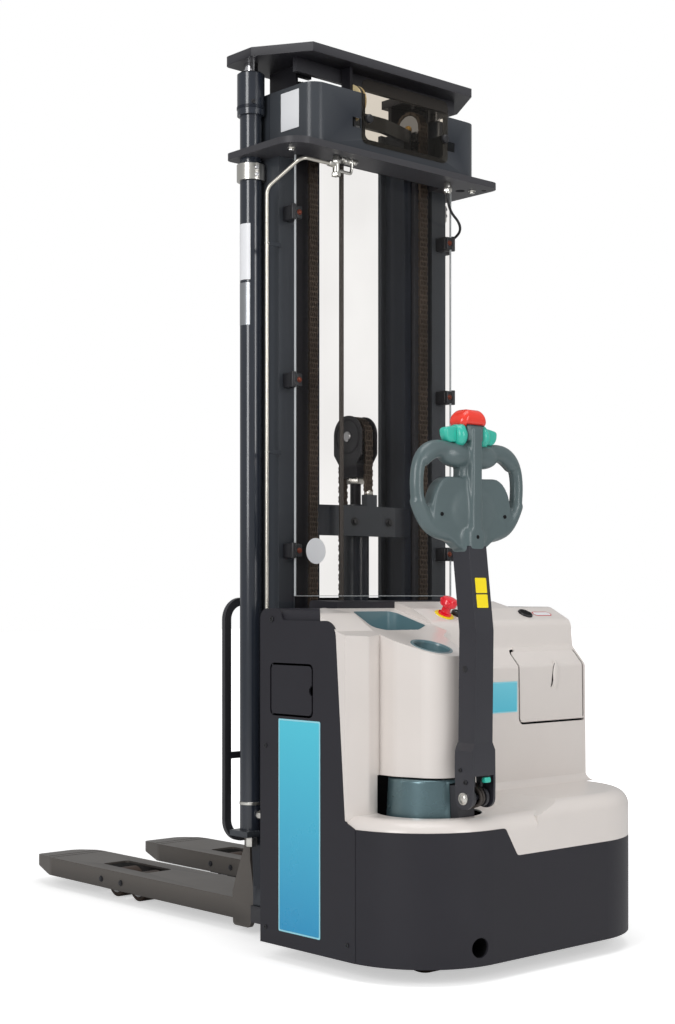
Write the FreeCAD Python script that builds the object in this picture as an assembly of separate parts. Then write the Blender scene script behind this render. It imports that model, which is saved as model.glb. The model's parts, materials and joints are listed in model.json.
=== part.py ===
import FreeCAD, Part
import math
import os

from FreeCAD import Vector

os.makedirs("parts", exist_ok=True)

# Pedestrian electric stacker.  Millimetres.
# +X points along the forks, +Y to the left of a driver facing the forks, +Z up.
# The origin is on the floor, under the centre of the whole machine.
# "Station" below is a distance forward from the rearmost face of the truck.

# ---------------------------------------------------------------- driving sizes
OVERALL_LENGTH = 1790.0
BODY_WIDTH = 850.0
BODY_FRONT = 535.0          # station of the front wall of the truck body
FLOOR_GAP = 38.0            # floor to the underside of the skirt and panels
RIGHT_TOP = 822.0           # flat top of the right deck
PANEL_TOP = RIGHT_TOP       # top of the right side panel
WALL_TOP = RIGHT_TOP - 47    # top of the chassis side walls
PANEL_T = 5.0               # side panel thickness
SKIRT_T = 5.0               # steel skirt thickness
SKIRT_TOP = 334.0           # skirt height round the drive unit
SKIRT_TOP_LOW = 270.0       # skirt height on the right
SKIRT_STEP_Y = 160.0        # where the skirt edge steps down
REAR_CORNER_R = 226.0       # plan radius of the rear corners
LOBE_R = 25.0               # rounded ear at the front top corner of the left panel
LOBE_Z = RIGHT_TOP - 26
PANEL_TOP_LEFT = RIGHT_TOP - 28      # top of the left panel behind its ear
EDGE_WRAP = 8.0             # the cover wraps this far forward round the right rear corner
CREASE = 206.0              # station where the skirt meets the side panel
PANEL_EDGE_LOW = 239.0      # station of the panel's rear edge at the skirt top
PANEL_EDGE_HIGH = 272.0     # station of the panel's rear edge at its top
COVER_T = 4.0               # wall of the off-white cover
SEAM = 0.3                  # seam between neighbouring mouldings
RUN_GAP = 5.0               # clearance round a moving lid
FIT = 0.05                  # radial running fit of a pin, rod or axle
REST = 0.3                  # gap between curved faces that bear on each other
CHASSIS_FLOOR = 55.0
RISER_X = 335.0             # station where the chassis floor steps up to the rear deck
HATCH_POCKET = 70.0         # depth of the compartment behind the hatch
DECK_Z = 240.0              # underside of the rear deck that carries drive unit and castor
STEEL_T = 8.0               # chassis plate thickness

# steering column, tiller and drive wheel
STEER_X = 175.0             # station of the steering axis
STEER_Y = BODY_WIDTH / 2 - 200
DRIVE_WHEEL_R = 115.0
DRIVE_WHEEL_W = 75.0
DRUM_R = 98.0               # teal steering cap
DRUM_LOW = 331.0
DRUM_HIGH = 441.0
PIVOT_REACH = 143.0         # steering axis to tiller pivot
PIVOT_Z = 405.0
PIVOT_R = 6.0
ARM_W = 57.0
ARM_D = 50.0
ARM_SET = 4.0               # the beam stands this much behind the pivot at its kink
YOKE_HALF_W = 37.0          # outer faces of the cheeks at the pivot
CHEEK_T = 6.0
EAR_HALF_W = 25.0           # outer faces of the ears that the cheeks straddle
ARM_KINK_Z = 774.0
ARM_TOP_Z = 960.0
ARM_LEAN = 22.0             # forward lean of the arm's upper length
HEAD_W = 352.0
HEAD_TOP_Z = 1222.0
BUTTON_TOP_Z = 1265.0
GRIP_R = 15.0
CASTOR_X = 200.0            # station of the castor's swivel axis
CASTOR_Y = 155 - BODY_WIDTH / 2
CASTOR_TRAIL = 35.0
CASTOR_R = 65.0
STEM_R = 18.0               # castor swivel stem

# mast
MAST_REAR = 625.0           # station of the outer channels' rear faces
CHANNEL_D = 100.0           # channel depth along X
CHANNEL_STEP = 6.0          # each nested channel sits this much further forward
FLANGE_T = 12.0
WEB_T = 8.0
OUTER_HALF_W = 292.0        # outer faces of the outer channels
CHANNEL_W = 52.0            # width of the outer and middle channels
INNER_W = 25.0              # width of the inner channel
NEST_GAP = 7.0              # side gap between nested channels
OUTER_BOTTOM = 80.0
OUTER_TOP = 1928.0
MID_BOTTOM = 100.0
MID_TOP = 2162.0
INNER_BOTTOM = 100.0
INNER_TOP = 2080.0
TOP_PLATE_T = 22.0
HEAD_PLATE_T = 16.0
GUARD_T = 3.0
GUARD_HALF_W = OUTER_HALF_W - 2
GUARD_REAR = 504.0
GUARD_TOP = 2088.0
CYL_X = 698.0               # station of the side lift cylinders
CYL_R = 27.0
CYL_SIDE_GAP = 2.0          # between a cylinder and its channel
CYL_Y = OUTER_HALF_W + CYL_R + CYL_SIDE_GAP
CYL_BORE = 22.0
CYL_FOOT_Z = 275.0
CYL_TUBE_TOP = 2033.0
GLAND_R = 34.0
GLAND_TOP = 2135.0
ROD_R = 17.5

# fork carriage and forks
FORK_W = 186.0
FORK_OUTER_Y = 286.0        # outer faces of the forks: 572 overall
FORK_TOP = 87.0
FORK_BOTTOM = 35.0
FORK_PLATE_T = 6.0
FORK_HEEL = 780.0           # station where the fork blade starts
SHANK_REAR = 745.0
SHANK_T = 22.0
SHANK_TOP = 270.0
TIP_TAPER = 120.0           # length of the fork's narrowing tip
TIP_NARROW = 24.0
TIP_SOLID = 45.0
WHEEL_SLOT = (1255.0, 1472.0)
LOAD_WHEEL_R = 40.0
LOAD_WHEEL_W = 70.0
LOAD_WHEELS = (1311.0, 1415.0)
LEG_W = 124.0
LEG_TOP = 72.0
LEG_BOTTOM = 38.0
AXLE_R = 8.0

HALF_W = BODY_WIDTH / 2
FORK_Y = FORK_OUTER_Y - FORK_W / 2


def station(distance):
    """World X of a point this far forward of the rear face."""
    return distance - OVERALL_LENGTH / 2


# ---------------------------------------------------------------- shape helpers
def box(s0, s1, y0, y1, z0, z1):
    """Block between two stations, two Y and two Z values."""
    return Part.makeBox(s1 - s0, y1 - y0, z1 - z0, Vector(station(s0), y0, z0))


def rod_x(s0, s1, y, z, radius):
    return Part.makeCylinder(radius, s1 - s0, Vector(station(s0), y, z), Vector(1, 0, 0))


def rod_y(s, y0, y1, z, radius):
    return Part.makeCylinder(radius, y1 - y0, Vector(station(s), y0, z), Vector(0, 1, 0))


def rod_z(s, y, z0, z1, radius):
    return Part.makeCylinder(radius, z1 - z0, Vector(station(s), y, z0))


def rounded_wire(points):
    """Closed wire through points (Vector, radius) with a tangent arc at each."""
    count = len(points)
    starts = []
    ends = []
    mids = []
    for i in range(count):
        here, radius = points[i]
        before = points[i - 1][0]
        after = points[(i + 1) % count][0]
        to_before = (before - here).normalize()
        to_after = (after - here).normalize()
        if radius <= 0:
            starts.append(here)
            ends.append(here)
            mids.append(None)
            continue
        half = to_before.getAngle(to_after) / 2
        run = radius / math.tan(half)
        middle = (to_before + to_after).normalize()
        centre = here + middle * (radius / math.sin(half))
        starts.append(here + to_before * run)
        ends.append(here + to_after * run)
        mids.append(centre - middle * radius)
    edges = []
    for i in range(count):
        if mids[i] is not None:
            edges.append(Part.Arc(starts[i], mids[i], ends[i]).toShape())
        follower = starts[(i + 1) % count]
        if (follower - ends[i]).Length > 1e-6:
            edges.append(Part.LineSegment(ends[i], follower).toShape())
    return Part.Wire(edges)


def plan(points):
    """Closed wire at Z = 0 through (station, y, radius) points."""
    return rounded_wire([(Vector(station(s), y, 0), r) for s, y, r in points])


def prism(wire, z0, z1):
    """Upright prism on a wire drawn at Z = 0."""
    face = Part.Face(wire)
    face.translate(Vector(0, 0, z0))
    return face.extrude(Vector(0, 0, z1 - z0))


def side_prism(points, y0, y1):
    """Prism along Y on (station, z, radius) points."""
    wire = rounded_wire([(Vector(station(s), y0, z), r) for s, z, r in points])
    return Part.Face(wire).extrude(Vector(0, y1 - y0, 0))


def rear_prism(points, s0, s1):
    """Prism along X on (y, z, radius) points."""
    wire = rounded_wire([(Vector(station(s0), y, z), r) for y, z, r in points])
    return Part.Face(wire).extrude(Vector(s1 - s0, 0, 0))


def fuse(shapes):
    result = shapes[0]
    if len(shapes) > 1:
        result = result.multiFuse(shapes[1:])
    return result.removeSplitter()


def cut(shape, tools):
    return shape.cut(Part.makeCompound(tools)) if tools else shape


def mirror_y(shape):
    return shape.mirror(Vector(0, 0, 0), Vector(0, 1, 0))


def both_sides(shape):
    return [shape, mirror_y(shape)]


def tube_path(points, radii):
    """Open path of straight runs joined by tangent arcs at the inner points."""
    edges = []
    start = points[0]
    for i in range(1, len(points) - 1):
        here = points[i]
        to_before = (points[i - 1] - here).normalize()
        to_after = (points[i + 1] - here).normalize()
        half = to_before.getAngle(to_after) / 2
        run = radii[i - 1] / math.tan(half)
        middle = (to_before + to_after).normalize()
        centre = here + middle * (radii[i - 1] / math.sin(half))
        arc_start = here + to_before * run
        arc_end = here + to_after * run
        edges.append(Part.LineSegment(start, arc_start).toShape())
        edges.append(Part.Arc(arc_start, centre - middle * radii[i - 1], arc_end).toShape())
        start = arc_end
    edges.append(Part.LineSegment(start, points[-1]).toShape())
    return Part.Wire(edges)


def round_tube(points, radii, radius):
    """Solid round bar along a path of runs and arcs."""
    path = tube_path(points, radii)
    direction = points[1] - points[0]
    section = Part.Wire(Part.makeCircle(radius, points[0], direction))
    return path.makePipeShell([section], True, False)


def save(name, shapes):
    """Write one node, as one solid or as several that do not touch."""
    if not isinstance(shapes, list):
        shapes = [shapes]
    solids = []
    for shape in shapes:
        solids.extend(shape.Solids)
    result = solids[0] if len(solids) == 1 else Part.makeCompound(solids)
    if not result.isValid():
        print("INVALID", name)
    result.exportStep("parts/" + name + ".step")
    centre = result.BoundBox
    print("%-24s %d solid(s) %8.1f cm3  z %.1f..%.1f" % (
        name, len(solids), result.Volume / 1000.0, centre.ZMin, centre.ZMax))


# ---------------------------------------------------------------- truck body
def body_plan(inset, front):
    """Plan outline of the truck behind a station, with its rounded rear corners."""
    y = HALF_W - inset
    radius = REAR_CORNER_R - inset
    return plan([
        (front, -y, 0),
        (inset, -y, radius),
        (inset, y, radius),
        (front, y, 0),
    ])


def skirt_band(side_gap):
    """Rear block whose top follows the stepped top edge of the skirt."""
    top = SKIRT_TOP + side_gap
    low = SKIRT_TOP_LOW + side_gap
    step = SKIRT_STEP_Y
    y = HALF_W + 10
    return rear_prism([
        (-y, 0, 0),
        (y, 0, 0),
        (y, top, 0),
        (step, top, 12),
        (step - 40, low, 12),
        (-y, low, 0),
    ], -10, PANEL_EDGE_LOW + 60)


def chassis_frame():
    y = HALF_W - PANEL_T
    floor_z = CHASSIS_FLOOR
    riser = RISER_X
    floor = box(riser, BODY_FRONT, -y, y, floor_z, floor_z + STEEL_T)
    front = box(BODY_FRONT - STEEL_T, BODY_FRONT, -y, y, floor_z, 600)
    riser_wall = box(riser, riser + STEEL_T, -y + STEEL_T, y - STEEL_T, floor_z, DECK_Z + STEEL_T)
    deck = prism(body_plan(SKIRT_T, riser + STEEL_T), DECK_Z, DECK_Z + STEEL_T)
    deck_hole = rod_z(STEER_X, STEER_Y, DECK_Z - 1, DECK_Z + STEEL_T + 1, 72)
    cheeks = [box(riser, BODY_FRONT, y - STEEL_T, y, floor_z, WALL_TOP)]
    cheeks.append(mirror_y(cheeks[0]))
    rail = box(BODY_FRONT - 30, BODY_FRONT, -y, y, WALL_TOP - 25, WALL_TOP)
    mast_cheek = box(BODY_FRONT, MAST_REAR + 30, OUTER_HALF_W, OUTER_HALF_W + STEEL_T, OUTER_BOTTOM, 600)
    base = box(BODY_FRONT - STEEL_T, MAST_REAR + CHANNEL_D, -OUTER_HALF_W - STEEL_T,
               OUTER_HALF_W + STEEL_T, LEG_BOTTOM, OUTER_BOTTOM)
    castor_boss = rod_z(CASTOR_X, CASTOR_Y, DECK_Z - 35, DECK_Z + 1, 32)
    castor_bore = rod_z(CASTOR_X, CASTOR_Y, DECK_Z - 36, DECK_Z + STEEL_T + 1, STEM_R + FIT)
    shapes = [floor, front, riser_wall, deck, rail, base, castor_boss] + cheeks + both_sides(mast_cheek)
    pocket_back = y - HATCH_POCKET
    pocket = box(HATCH[0] - STEEL_T, HATCH[1] + STEEL_T, pocket_back - STEEL_T, y - 1,
                 HATCH[2] - STEEL_T, HATCH[3] + STEEL_T)
    pocket_hollow = box(HATCH[0], HATCH[1] + 2, pocket_back, y + 1, HATCH[2] - 2, HATCH[3] + 2)
    return cut(fuse(shapes + [pocket]), [deck_hole, castor_bore, pocket_hollow])


def battery():
    rear = RISER_X + STEEL_T + 2
    y = HALF_W - 95
    return box(rear, BODY_FRONT - STEEL_T - 12, -y, y, CHASSIS_FLOOR + STEEL_T, 560)


JACK_HOLE = (238.0, 79.0, 22.0)     # side position, height and radius of the jacking hole


def skirt():
    """Low steel band that wraps the rear corners, with one round jacking hole."""
    outer = prism(body_plan(0, PANEL_EDGE_HIGH), FLOOR_GAP, SKIRT_TOP)
    inner = prism(body_plan(SKIRT_T, PANEL_EDGE_HIGH + 1), FLOOR_GAP - 1, SKIRT_TOP + 1)
    behind_crease = box(0, CREASE, -HALF_W, HALF_W, FLOOR_GAP, SKIRT_TOP)
    band = outer.cut(inner).common(skirt_band(0)).common(behind_crease)
    return band.cut(rod_x(-1, CREASE, *JACK_HOLE))


def side_panel(with_hatch):
    """Thin side wall; the right one stops just ahead of the cover's stepped rear face."""
    y0 = HALF_W - PANEL_T
    low_edge = CREASE + SEAM
    if with_hatch:
        plate = side_prism([
            (low_edge, FLOOR_GAP, 0),
            (BODY_FRONT, FLOOR_GAP, 0),
            (BODY_FRONT, LOBE_Z + LOBE_R, LOBE_R - 1),
            (BODY_FRONT - 2 * LOBE_R - 18, LOBE_Z + LOBE_R, LOBE_R - 6),
            (BODY_FRONT - 2 * LOBE_R - 30, PANEL_TOP_LEFT, 10),
            (PANEL_EDGE_HIGH, PANEL_TOP_LEFT, 38),
            (PANEL_EDGE_LOW, SKIRT_TOP + 12, 10),
            (low_edge, SKIRT_TOP, 6),
        ], y0, HALF_W)
        return plate.cut(hatch_block(0, y0 - 1, HALF_W + 1))
    return mirror_y(side_prism([
        (low_edge, FLOOR_GAP, 0),
        (BODY_FRONT, FLOOR_GAP, 0),
        (BODY_FRONT, PANEL_TOP, 14),
        (UPPER_FACE + SLOPE_RUN + 10, PANEL_TOP, 40),
        (UPPER_FACE + EDGE_WRAP, UPPER_EDGE_Z + 4, 24),
        (UPPER_FACE - 6 + EDGE_WRAP, LEDGE_HIGH, 20),
        (RIGHT_FACE + EDGE_WRAP, LEDGE_LOW, 14),
        (RIGHT_FACE + EDGE_WRAP, SHELF_TOP_RIGHT + 12, 10),
        (low_edge, SHELF_TOP_RIGHT - 60, 6),
    ], y0, HALF_W))


HATCH = (347.0, 499.0, 572.0, 695.0)      # stations and heights of the hatch opening
HATCH_HINGE_Y = HALF_W - 2.5
PIN_INSET = 3.0             # hinge pin ends short of the rounded corners


def hatch_block(inset, y0, y1):
    s0, s1, z0, z1 = HATCH
    radius = 14 - inset * 0.5
    return side_prism([
        (s0 + inset, z0 + inset, radius),
        (s1 - inset, z0 + inset, radius),
        (s1 - inset, z1 - inset, radius),
        (s0 + inset, z1 - inset, radius),
    ], y0, y1)


def hatch_lid():
    lid = hatch_block(RUN_GAP, HALF_W - PANEL_T, HALF_W)
    notch = rod_y(HATCH[0] + 2, HALF_W - PANEL_T - 1, HALF_W + 1, (HATCH[2] + HATCH[3]) / 2, 12)
    pin = rod_z(HATCH[1] - RUN_GAP - 3, HATCH_HINGE_Y, HATCH[2] + PIN_INSET, HATCH[3] - PIN_INSET, 2)
    return fuse([lid.cut(notch), pin])


# ---------------------------------------------------------------- off-white cover
SLOPE_REF = 270.0           # station where the left deck height is given
SLOPE_Z = RIGHT_TOP - 50
SLOPE = 0.30                # rise of the sloping deck per length
DECK_STEP_Y = 85.0          # edge between the left deck and the higher right deck
DECK_STEP = 18.0
SLANT_Y = 330.0             # the left deck's front edge runs back from here to the side
SLANT_FRONT = 322.0
SHOULDER = 334.0            # station and height of the raised shoulder beside the tray
SHOULDER_Z = RIGHT_TOP - 11
SHOULDER_Y = 312.0
HUMP_TOP = RIGHT_TOP + 14            # front edge of the raised middle of the right deck
CAP_HALF_W = 272.0          # raised middle of the dark strip
COVER_FRONT = 432.0
RIGHT_FACE = 255.0          # rear face right of the tiller
UPPER_FACE = 303.0          # rear face above the lid
UPPER_EDGE_Z = RIGHT_TOP - 36    # where the sloping face meets the rear face
SLOPE_RUN = 70.0
LEDGE_HIGH = RIGHT_TOP - 100     # the rear face steps back between these heights
LEDGE_LOW = RIGHT_TOP - 146
SHELF_TOP = 360.0
SHELF_TOP_RIGHT = 380.0
RING_ROUND = 38.0           # rounding of the shelf's outer edge
RING_STEP_Y = 50.0          # where the ring starts to rise to the shelf
COVE_R = 28.0               # hollow rounding between shelf and rear face
BULGE_R = 92.0
BULGE_LOW = 445.0
WELL_R = 120.0
LID = (-HALF_W + 7, -169.0, RIGHT_TOP - 290, RIGHT_TOP - 106)     # y and z range of the rear lid opening
LID_AXIS = (RIGHT_FACE - 2, LID[2] + 8)                 # station and height of the lid's hinge


def slope_prism(extra, y0, y1, inset):
    """Everything below the sloping deck, between two Y values."""
    z_rear = SLOPE_Z + (0 - SLOPE_REF) * SLOPE + extra - inset
    z_front = z_rear + COVER_FRONT * SLOPE
    return side_prism([
        (0, 0, 0),
        (COVER_FRONT, 0, 0),
        (COVER_FRONT, z_front, 0),
        (0, z_rear, 0),
    ], y0, y1)


def cover_main(inset):
    """Upright part of the cover over the battery, left and right of the bulge."""
    y = HALF_W - inset
    left = plan([
        (COVER_FRONT, DECK_STEP_Y - 2 * inset, 0),
        (COVER_FRONT, SLANT_Y, 50),
        (SLANT_FRONT, HALF_W, 0),
        (SLANT_FRONT - 1, y, 0),
        (PANEL_EDGE_LOW + inset, y, 0),
        (228 + inset, HALF_W - 64 - inset, 18),
        (240 + inset, HALF_W - 107 - inset, 8),
        (250 + inset, DECK_STEP_Y - 2 * inset, 0),
    ])
    deck = slope_prism(0, DECK_STEP_Y - 1 - 2 * inset, HALF_W + 1, inset)
    shoulder = side_prism([
        (SLOPE_REF - 8, SLOPE_Z - 12, 0),
        (COVER_FRONT, SLOPE_Z - 12, 0),
        (COVER_FRONT, RIGHT_TOP - inset, 0),
        (SHOULDER, SHOULDER_Z - inset, 30),
        (SLOPE_REF - 8, SLOPE_Z - inset - 4, 0),
    ], SHOULDER_Y + inset, HALF_W + 1)
    left_solid = prism(left, SHELF_TOP - 60, RIGHT_TOP).common(deck.fuse(shoulder))
    right = side_prism([
        (COVER_FRONT, SHELF_TOP - 60, 0),
        (COVER_FRONT, RIGHT_TOP - inset, 0),
        (UPPER_FACE + SLOPE_RUN, RIGHT_TOP - inset, 40),
        (UPPER_FACE + inset, UPPER_EDGE_Z - inset, 24),
        (UPPER_FACE - 6 + inset, LEDGE_HIGH, 20),
        (RIGHT_FACE + inset, LEDGE_LOW, 14),
        (RIGHT_FACE - 4 + inset, SHELF_TOP - 60, 0),
    ], -y, DECK_STEP_Y - inset)
    hump = side_prism([
        (UPPER_FACE + 72, RIGHT_TOP - inset - 1, 0),
        (COVER_FRONT, RIGHT_TOP - inset - 1, 0),
        (COVER_FRONT, HUMP_TOP - inset, 0),
    ], -CAP_HALF_W + inset, DECK_STEP_Y - inset)
    return left_solid, right.fuse(hump)


def cover_bulge(inset):
    """Rounded housing over the drive motor, round behind and flared in front."""
    r = BULGE_R - inset
    circle = prism(plan([
        (STEER_X - r, STEER_Y - r * 0.35, r * 0.55),
        (STEER_X - r, STEER_Y + r * 0.6, r * 0.75),
        (STEER_X + r * 0.2, STEER_Y + r, r * 0.5),
        (300, STEER_Y + r, 0),
        (300, 90 + inset, 0),
        (250, 90 + inset, 0),
        (222, 130 + inset, 8),
        (190, 142 + inset, 25),
    ]), BULGE_LOW, RIGHT_TOP)
    return circle.common(slope_prism(0, 0, HALF_W, inset))


def rounded_block(inset, top):
    """The truck's plan up to a height, with the upper rear edge rounded over."""
    block = prism(body_plan(inset, PANEL_EDGE_LOW + 30), 230, top - inset)
    rim = [e for e in block.Edges
           if abs(e.BoundBox.ZMin - top + inset) < 0.01 and abs(e.BoundBox.ZMax - top + inset) < 0.01
           and e.BoundBox.XMin < station(PANEL_EDGE_LOW)]
    return block.makeFillet(RING_ROUND - inset, rim)


def cover_ring(inset):
    """Low ring round the drive unit that continues as the higher rear shelf."""
    low = rounded_block(inset, SHELF_TOP)
    high = rounded_block(inset, SHELF_TOP_RIGHT)
    right_part = rear_prism([
        (-HALF_W - 1, 200, 0),
        (60, 200, 0),
        (RING_STEP_Y, SHELF_TOP - 8 - inset, 0),
        (RING_STEP_Y - 100, SHELF_TOP_RIGHT + 1 - inset, 0),
        (-HALF_W - 1, SHELF_TOP_RIGHT + 1 - inset, 0),
    ], -1, PANEL_EDGE_LOW + 40)
    cove = box(RIGHT_FACE - COVE_R + inset, RIGHT_FACE + 12, -HALF_W + inset, RING_STEP_Y - 60,
               SHELF_TOP_RIGHT - inset - 1, SHELF_TOP_RIGHT + COVE_R - inset)
    hollow = rod_y(RIGHT_FACE - COVE_R + inset, -HALF_W, RING_STEP_Y, SHELF_TOP_RIGHT + COVE_R - inset, COVE_R)
    return fuse([low, high.common(right_part), cove.cut(hollow)])


def lid_block(gap):
    y0, y1, z0, z1 = LID
    wire = [(y0 + gap, z0 + gap, 2), (y1 - gap, z0 + gap, 18 - gap), (y1 - gap, z1 - gap, 12), (y0 + gap, z1 - gap, 8)]
    return rear_prism(wire, RIGHT_FACE - 30, UPPER_FACE + 60)


def rear_lid():
    outer = cover_main(0)[1]
    inner = cover_main(COVER_T)[1]
    wall = outer.cut(inner).common(lid_block(RUN_GAP))
    wall = max(wall.Solids, key=lambda solid: solid.Volume)
    pin = rod_y(LID_AXIS[0], LID[0] + REST, LID[1] - 6, LID_AXIS[1], 2)
    return fuse([wall, pin])


def cover():
    outer_left, outer_right = cover_main(0)
    inner_left, inner_right = cover_main(COVER_T)
    outer = fuse([cover_ring(0), outer_left, outer_right, cover_bulge(0)])
    inner = fuse([cover_ring(COVER_T), inner_left, inner_right, cover_bulge(COVER_T)])
    well_hole = rod_z(STEER_X, STEER_Y, 200, BULGE_LOW, WELL_R)
    shell = outer.cut(inner)
    opening = rod_z(STEER_X, STEER_Y, SHELF_TOP - COVER_T, BULGE_LOW, WELL_R).common(
        box(0, 262, 0, HALF_W - 60, 0, 900))
    tools = [skirt_band(0), well_hole, opening]
    tools.append(box(0, CREASE + 40, -HALF_W - 5, HALF_W + 5, 0, 200))
    for panel in (side_panel(True), side_panel(False)):
        tools.append(panel)
    tools.append(box(PANEL_EDGE_LOW - 40, BODY_FRONT, HALF_W - PANEL_T, HALF_W + 1, 0, SKIRT_TOP))
    tools.append(lid_block(0))
    tools.append(tray_cavity(0))
    tools.append(cup_cavity(0))
    shell = cut(shell, tools)
    return max(shell.Solids, key=lambda solid: solid.Volume)


TRAY_FRONT = COVER_FRONT - 20
TRAY_REAR = 268.0
TRAY_FLOOR = RIGHT_TOP - 122


def tray_cavity(wall):
    """Tray recess, optionally reduced by a wall all round."""
    outline = plan([
        (TRAY_FRONT - wall, HALF_W - 180 - wall, 22),
        (TRAY_FRONT - wall, DECK_STEP_Y + 27 + wall, 22),
        (TRAY_FRONT - 112, DECK_STEP_Y + 23 + wall, 18),
        (TRAY_REAR + wall, DECK_STEP_Y + 80, 25),
        (TRAY_REAR + wall, HALF_W - 125 - wall, 30),
    ])
    return prism(outline, TRAY_FLOOR + wall, RIGHT_TOP + 20)


CUP_X = 150.0
CUP_Y = STEER_Y + 17
CUP_R = 44.0
CUP_FLOOR = RIGHT_TOP - 172


def cup_cavity(wall):
    return rod_z(CUP_X, CUP_Y, CUP_FLOOR + wall, RIGHT_TOP + 20, CUP_R - wall)


def tray_inserts():
    wall = 2.5
    deck = slope_prism(-1.0, -10, HALF_W, 0)
    tray = tray_cavity(SEAM).common(deck).cut(tray_cavity(wall))
    cup = cup_cavity(SEAM).common(deck).cut(cup_cavity(wall))
    return [tray, cup]


def top_strip():
    """Dark cap between the cover and the mast, raised in the middle."""
    y = HALF_W - PANEL_T - SEAM
    low = WALL_TOP
    ends = rear_prism([
        (-y, low, 0),
        (y, low, 0),
        (y, RIGHT_TOP - 1, 26),
        (-y, RIGHT_TOP - 1, 26),
    ], SLANT_FRONT, BODY_FRONT)
    rear_edge = COVER_FRONT + SEAM
    ends = ends.common(prism(plan([
        (BODY_FRONT, -HALF_W, 0),
        (rear_edge, -HALF_W, 0),
        (rear_edge, SLANT_Y + SEAM, 50),
        (SLANT_FRONT + SEAM, HALF_W + SEAM, 0),
        (BODY_FRONT, HALF_W + SEAM, 0),
    ]), low, RIGHT_TOP))
    middle = side_prism([
        (COVER_FRONT + SEAM, low + 25, 0),
        (BODY_FRONT, low + 25, 0),
        (BODY_FRONT, HUMP_TOP + 4, 10),
        (COVER_FRONT + SEAM, HUMP_TOP, 0),
    ], -CAP_HALF_W, CAP_HALF_W)
    return fuse([ends, middle])


SLOPE_MID = 338.0           # station half way up the sloping face of the right deck
STOP_Y = 8.0
KEY_Y = -36.0
GAUGE_Y = -288.0


SLOPE_MID_Z = UPPER_EDGE_Z + (SLOPE_MID - UPPER_FACE) * (RIGHT_TOP - UPPER_EDGE_Z) / SLOPE_RUN


def on_slope(shape):
    """Turn something drawn upright at the middle of the slope to stand square on it."""
    tilt = math.degrees(math.atan2(RIGHT_TOP - UPPER_EDGE_Z, SLOPE_RUN))
    shape.rotate(Vector(station(SLOPE_MID), 0, SLOPE_MID_Z), Vector(0, 1, 0), -tilt)
    return shape


def emergency_stop():
    """Mushroom head on a stem, standing on the sloping deck."""
    stem = rod_z(SLOPE_MID, STOP_Y, SLOPE_MID_Z, SLOPE_MID_Z + 26, 11)
    collar = rod_z(SLOPE_MID, STOP_Y, SLOPE_MID_Z, SLOPE_MID_Z + 4, 17)
    head = rod_z(SLOPE_MID, STOP_Y, SLOPE_MID_Z + 22, SLOPE_MID_Z + 44, 21)
    head = head.makeFillet(6, head.Edges[:1])
    return on_slope(fuse([stem, collar, head]))


def key_switch():
    switch = rod_z(SLOPE_MID, KEY_Y, SLOPE_MID_Z, SLOPE_MID_Z + 9, 14)
    gauge = rod_z(SLOPE_MID, GAUGE_Y, SLOPE_MID_Z, SLOPE_MID_Z + 5, 19)
    return [on_slope(switch), on_slope(gauge)]


# ---------------------------------------------------------------- running gear
def drive_unit():
    """Motor, bearing flange and the one-sided gearbox that holds the wheel."""
    motor_r = 66.0
    motor = rod_z(STEER_X, STEER_Y, 2 * DRIVE_WHEEL_R + RUN_GAP, DRUM_HIGH - 4, motor_r)
    flange = rod_z(STEER_X, STEER_Y, DECK_Z + STEEL_T + REST, DECK_Z + STEEL_T + 12, motor_r + 42)
    y0 = STEER_Y + DRIVE_WHEEL_W / 2 + RUN_GAP
    gearbox = side_prism([
        (STEER_X - 48, 70, 40),
        (STEER_X + 48, 70, 40),
        (STEER_X + 48, 2 * DRIVE_WHEEL_R + RUN_GAP + 1, 0),
        (STEER_X - 48, 2 * DRIVE_WHEEL_R + RUN_GAP + 1, 0),
    ], y0, y0 + 26)
    cheek_plate = rod_z(STEER_X, STEER_Y, 2 * DRIVE_WHEEL_R + RUN_GAP, DECK_Z - REST, 60)
    cheek_plate = fuse([cheek_plate, box(STEER_X - 48, STEER_X + 48, STEER_Y, y0 + 26,
                                         2 * DRIVE_WHEEL_R + RUN_GAP, DECK_Z - REST)])
    axle = rod_y(STEER_X, STEER_Y - DRIVE_WHEEL_W / 2 - 4, y0 + 1, DRIVE_WHEEL_R, 14)
    return fuse([motor, flange, gearbox, cheek_plate, axle])


def rounded_rims(wheel, radius, bevel):
    """The wheel with both edges of its tread taken off."""
    rims = [e for e in wheel.Edges if abs(e.Length - 2 * math.pi * radius) < 1]
    return wheel.makeChamfer(bevel, rims)


def drive_wheel():
    half = DRIVE_WHEEL_W / 2
    wheel = rod_y(STEER_X, STEER_Y - half, STEER_Y + half, DRIVE_WHEEL_R, DRIVE_WHEEL_R)
    wheel = rounded_rims(wheel, DRIVE_WHEEL_R, 6)
    dish = rod_y(STEER_X, STEER_Y - half - 1, STEER_Y - half + 12, DRIVE_WHEEL_R, 62)
    return cut(wheel, [dish, rod_y(STEER_X, STEER_Y - half - 2, STEER_Y + half + 1, DRIVE_WHEEL_R, 14 + FIT)])


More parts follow.
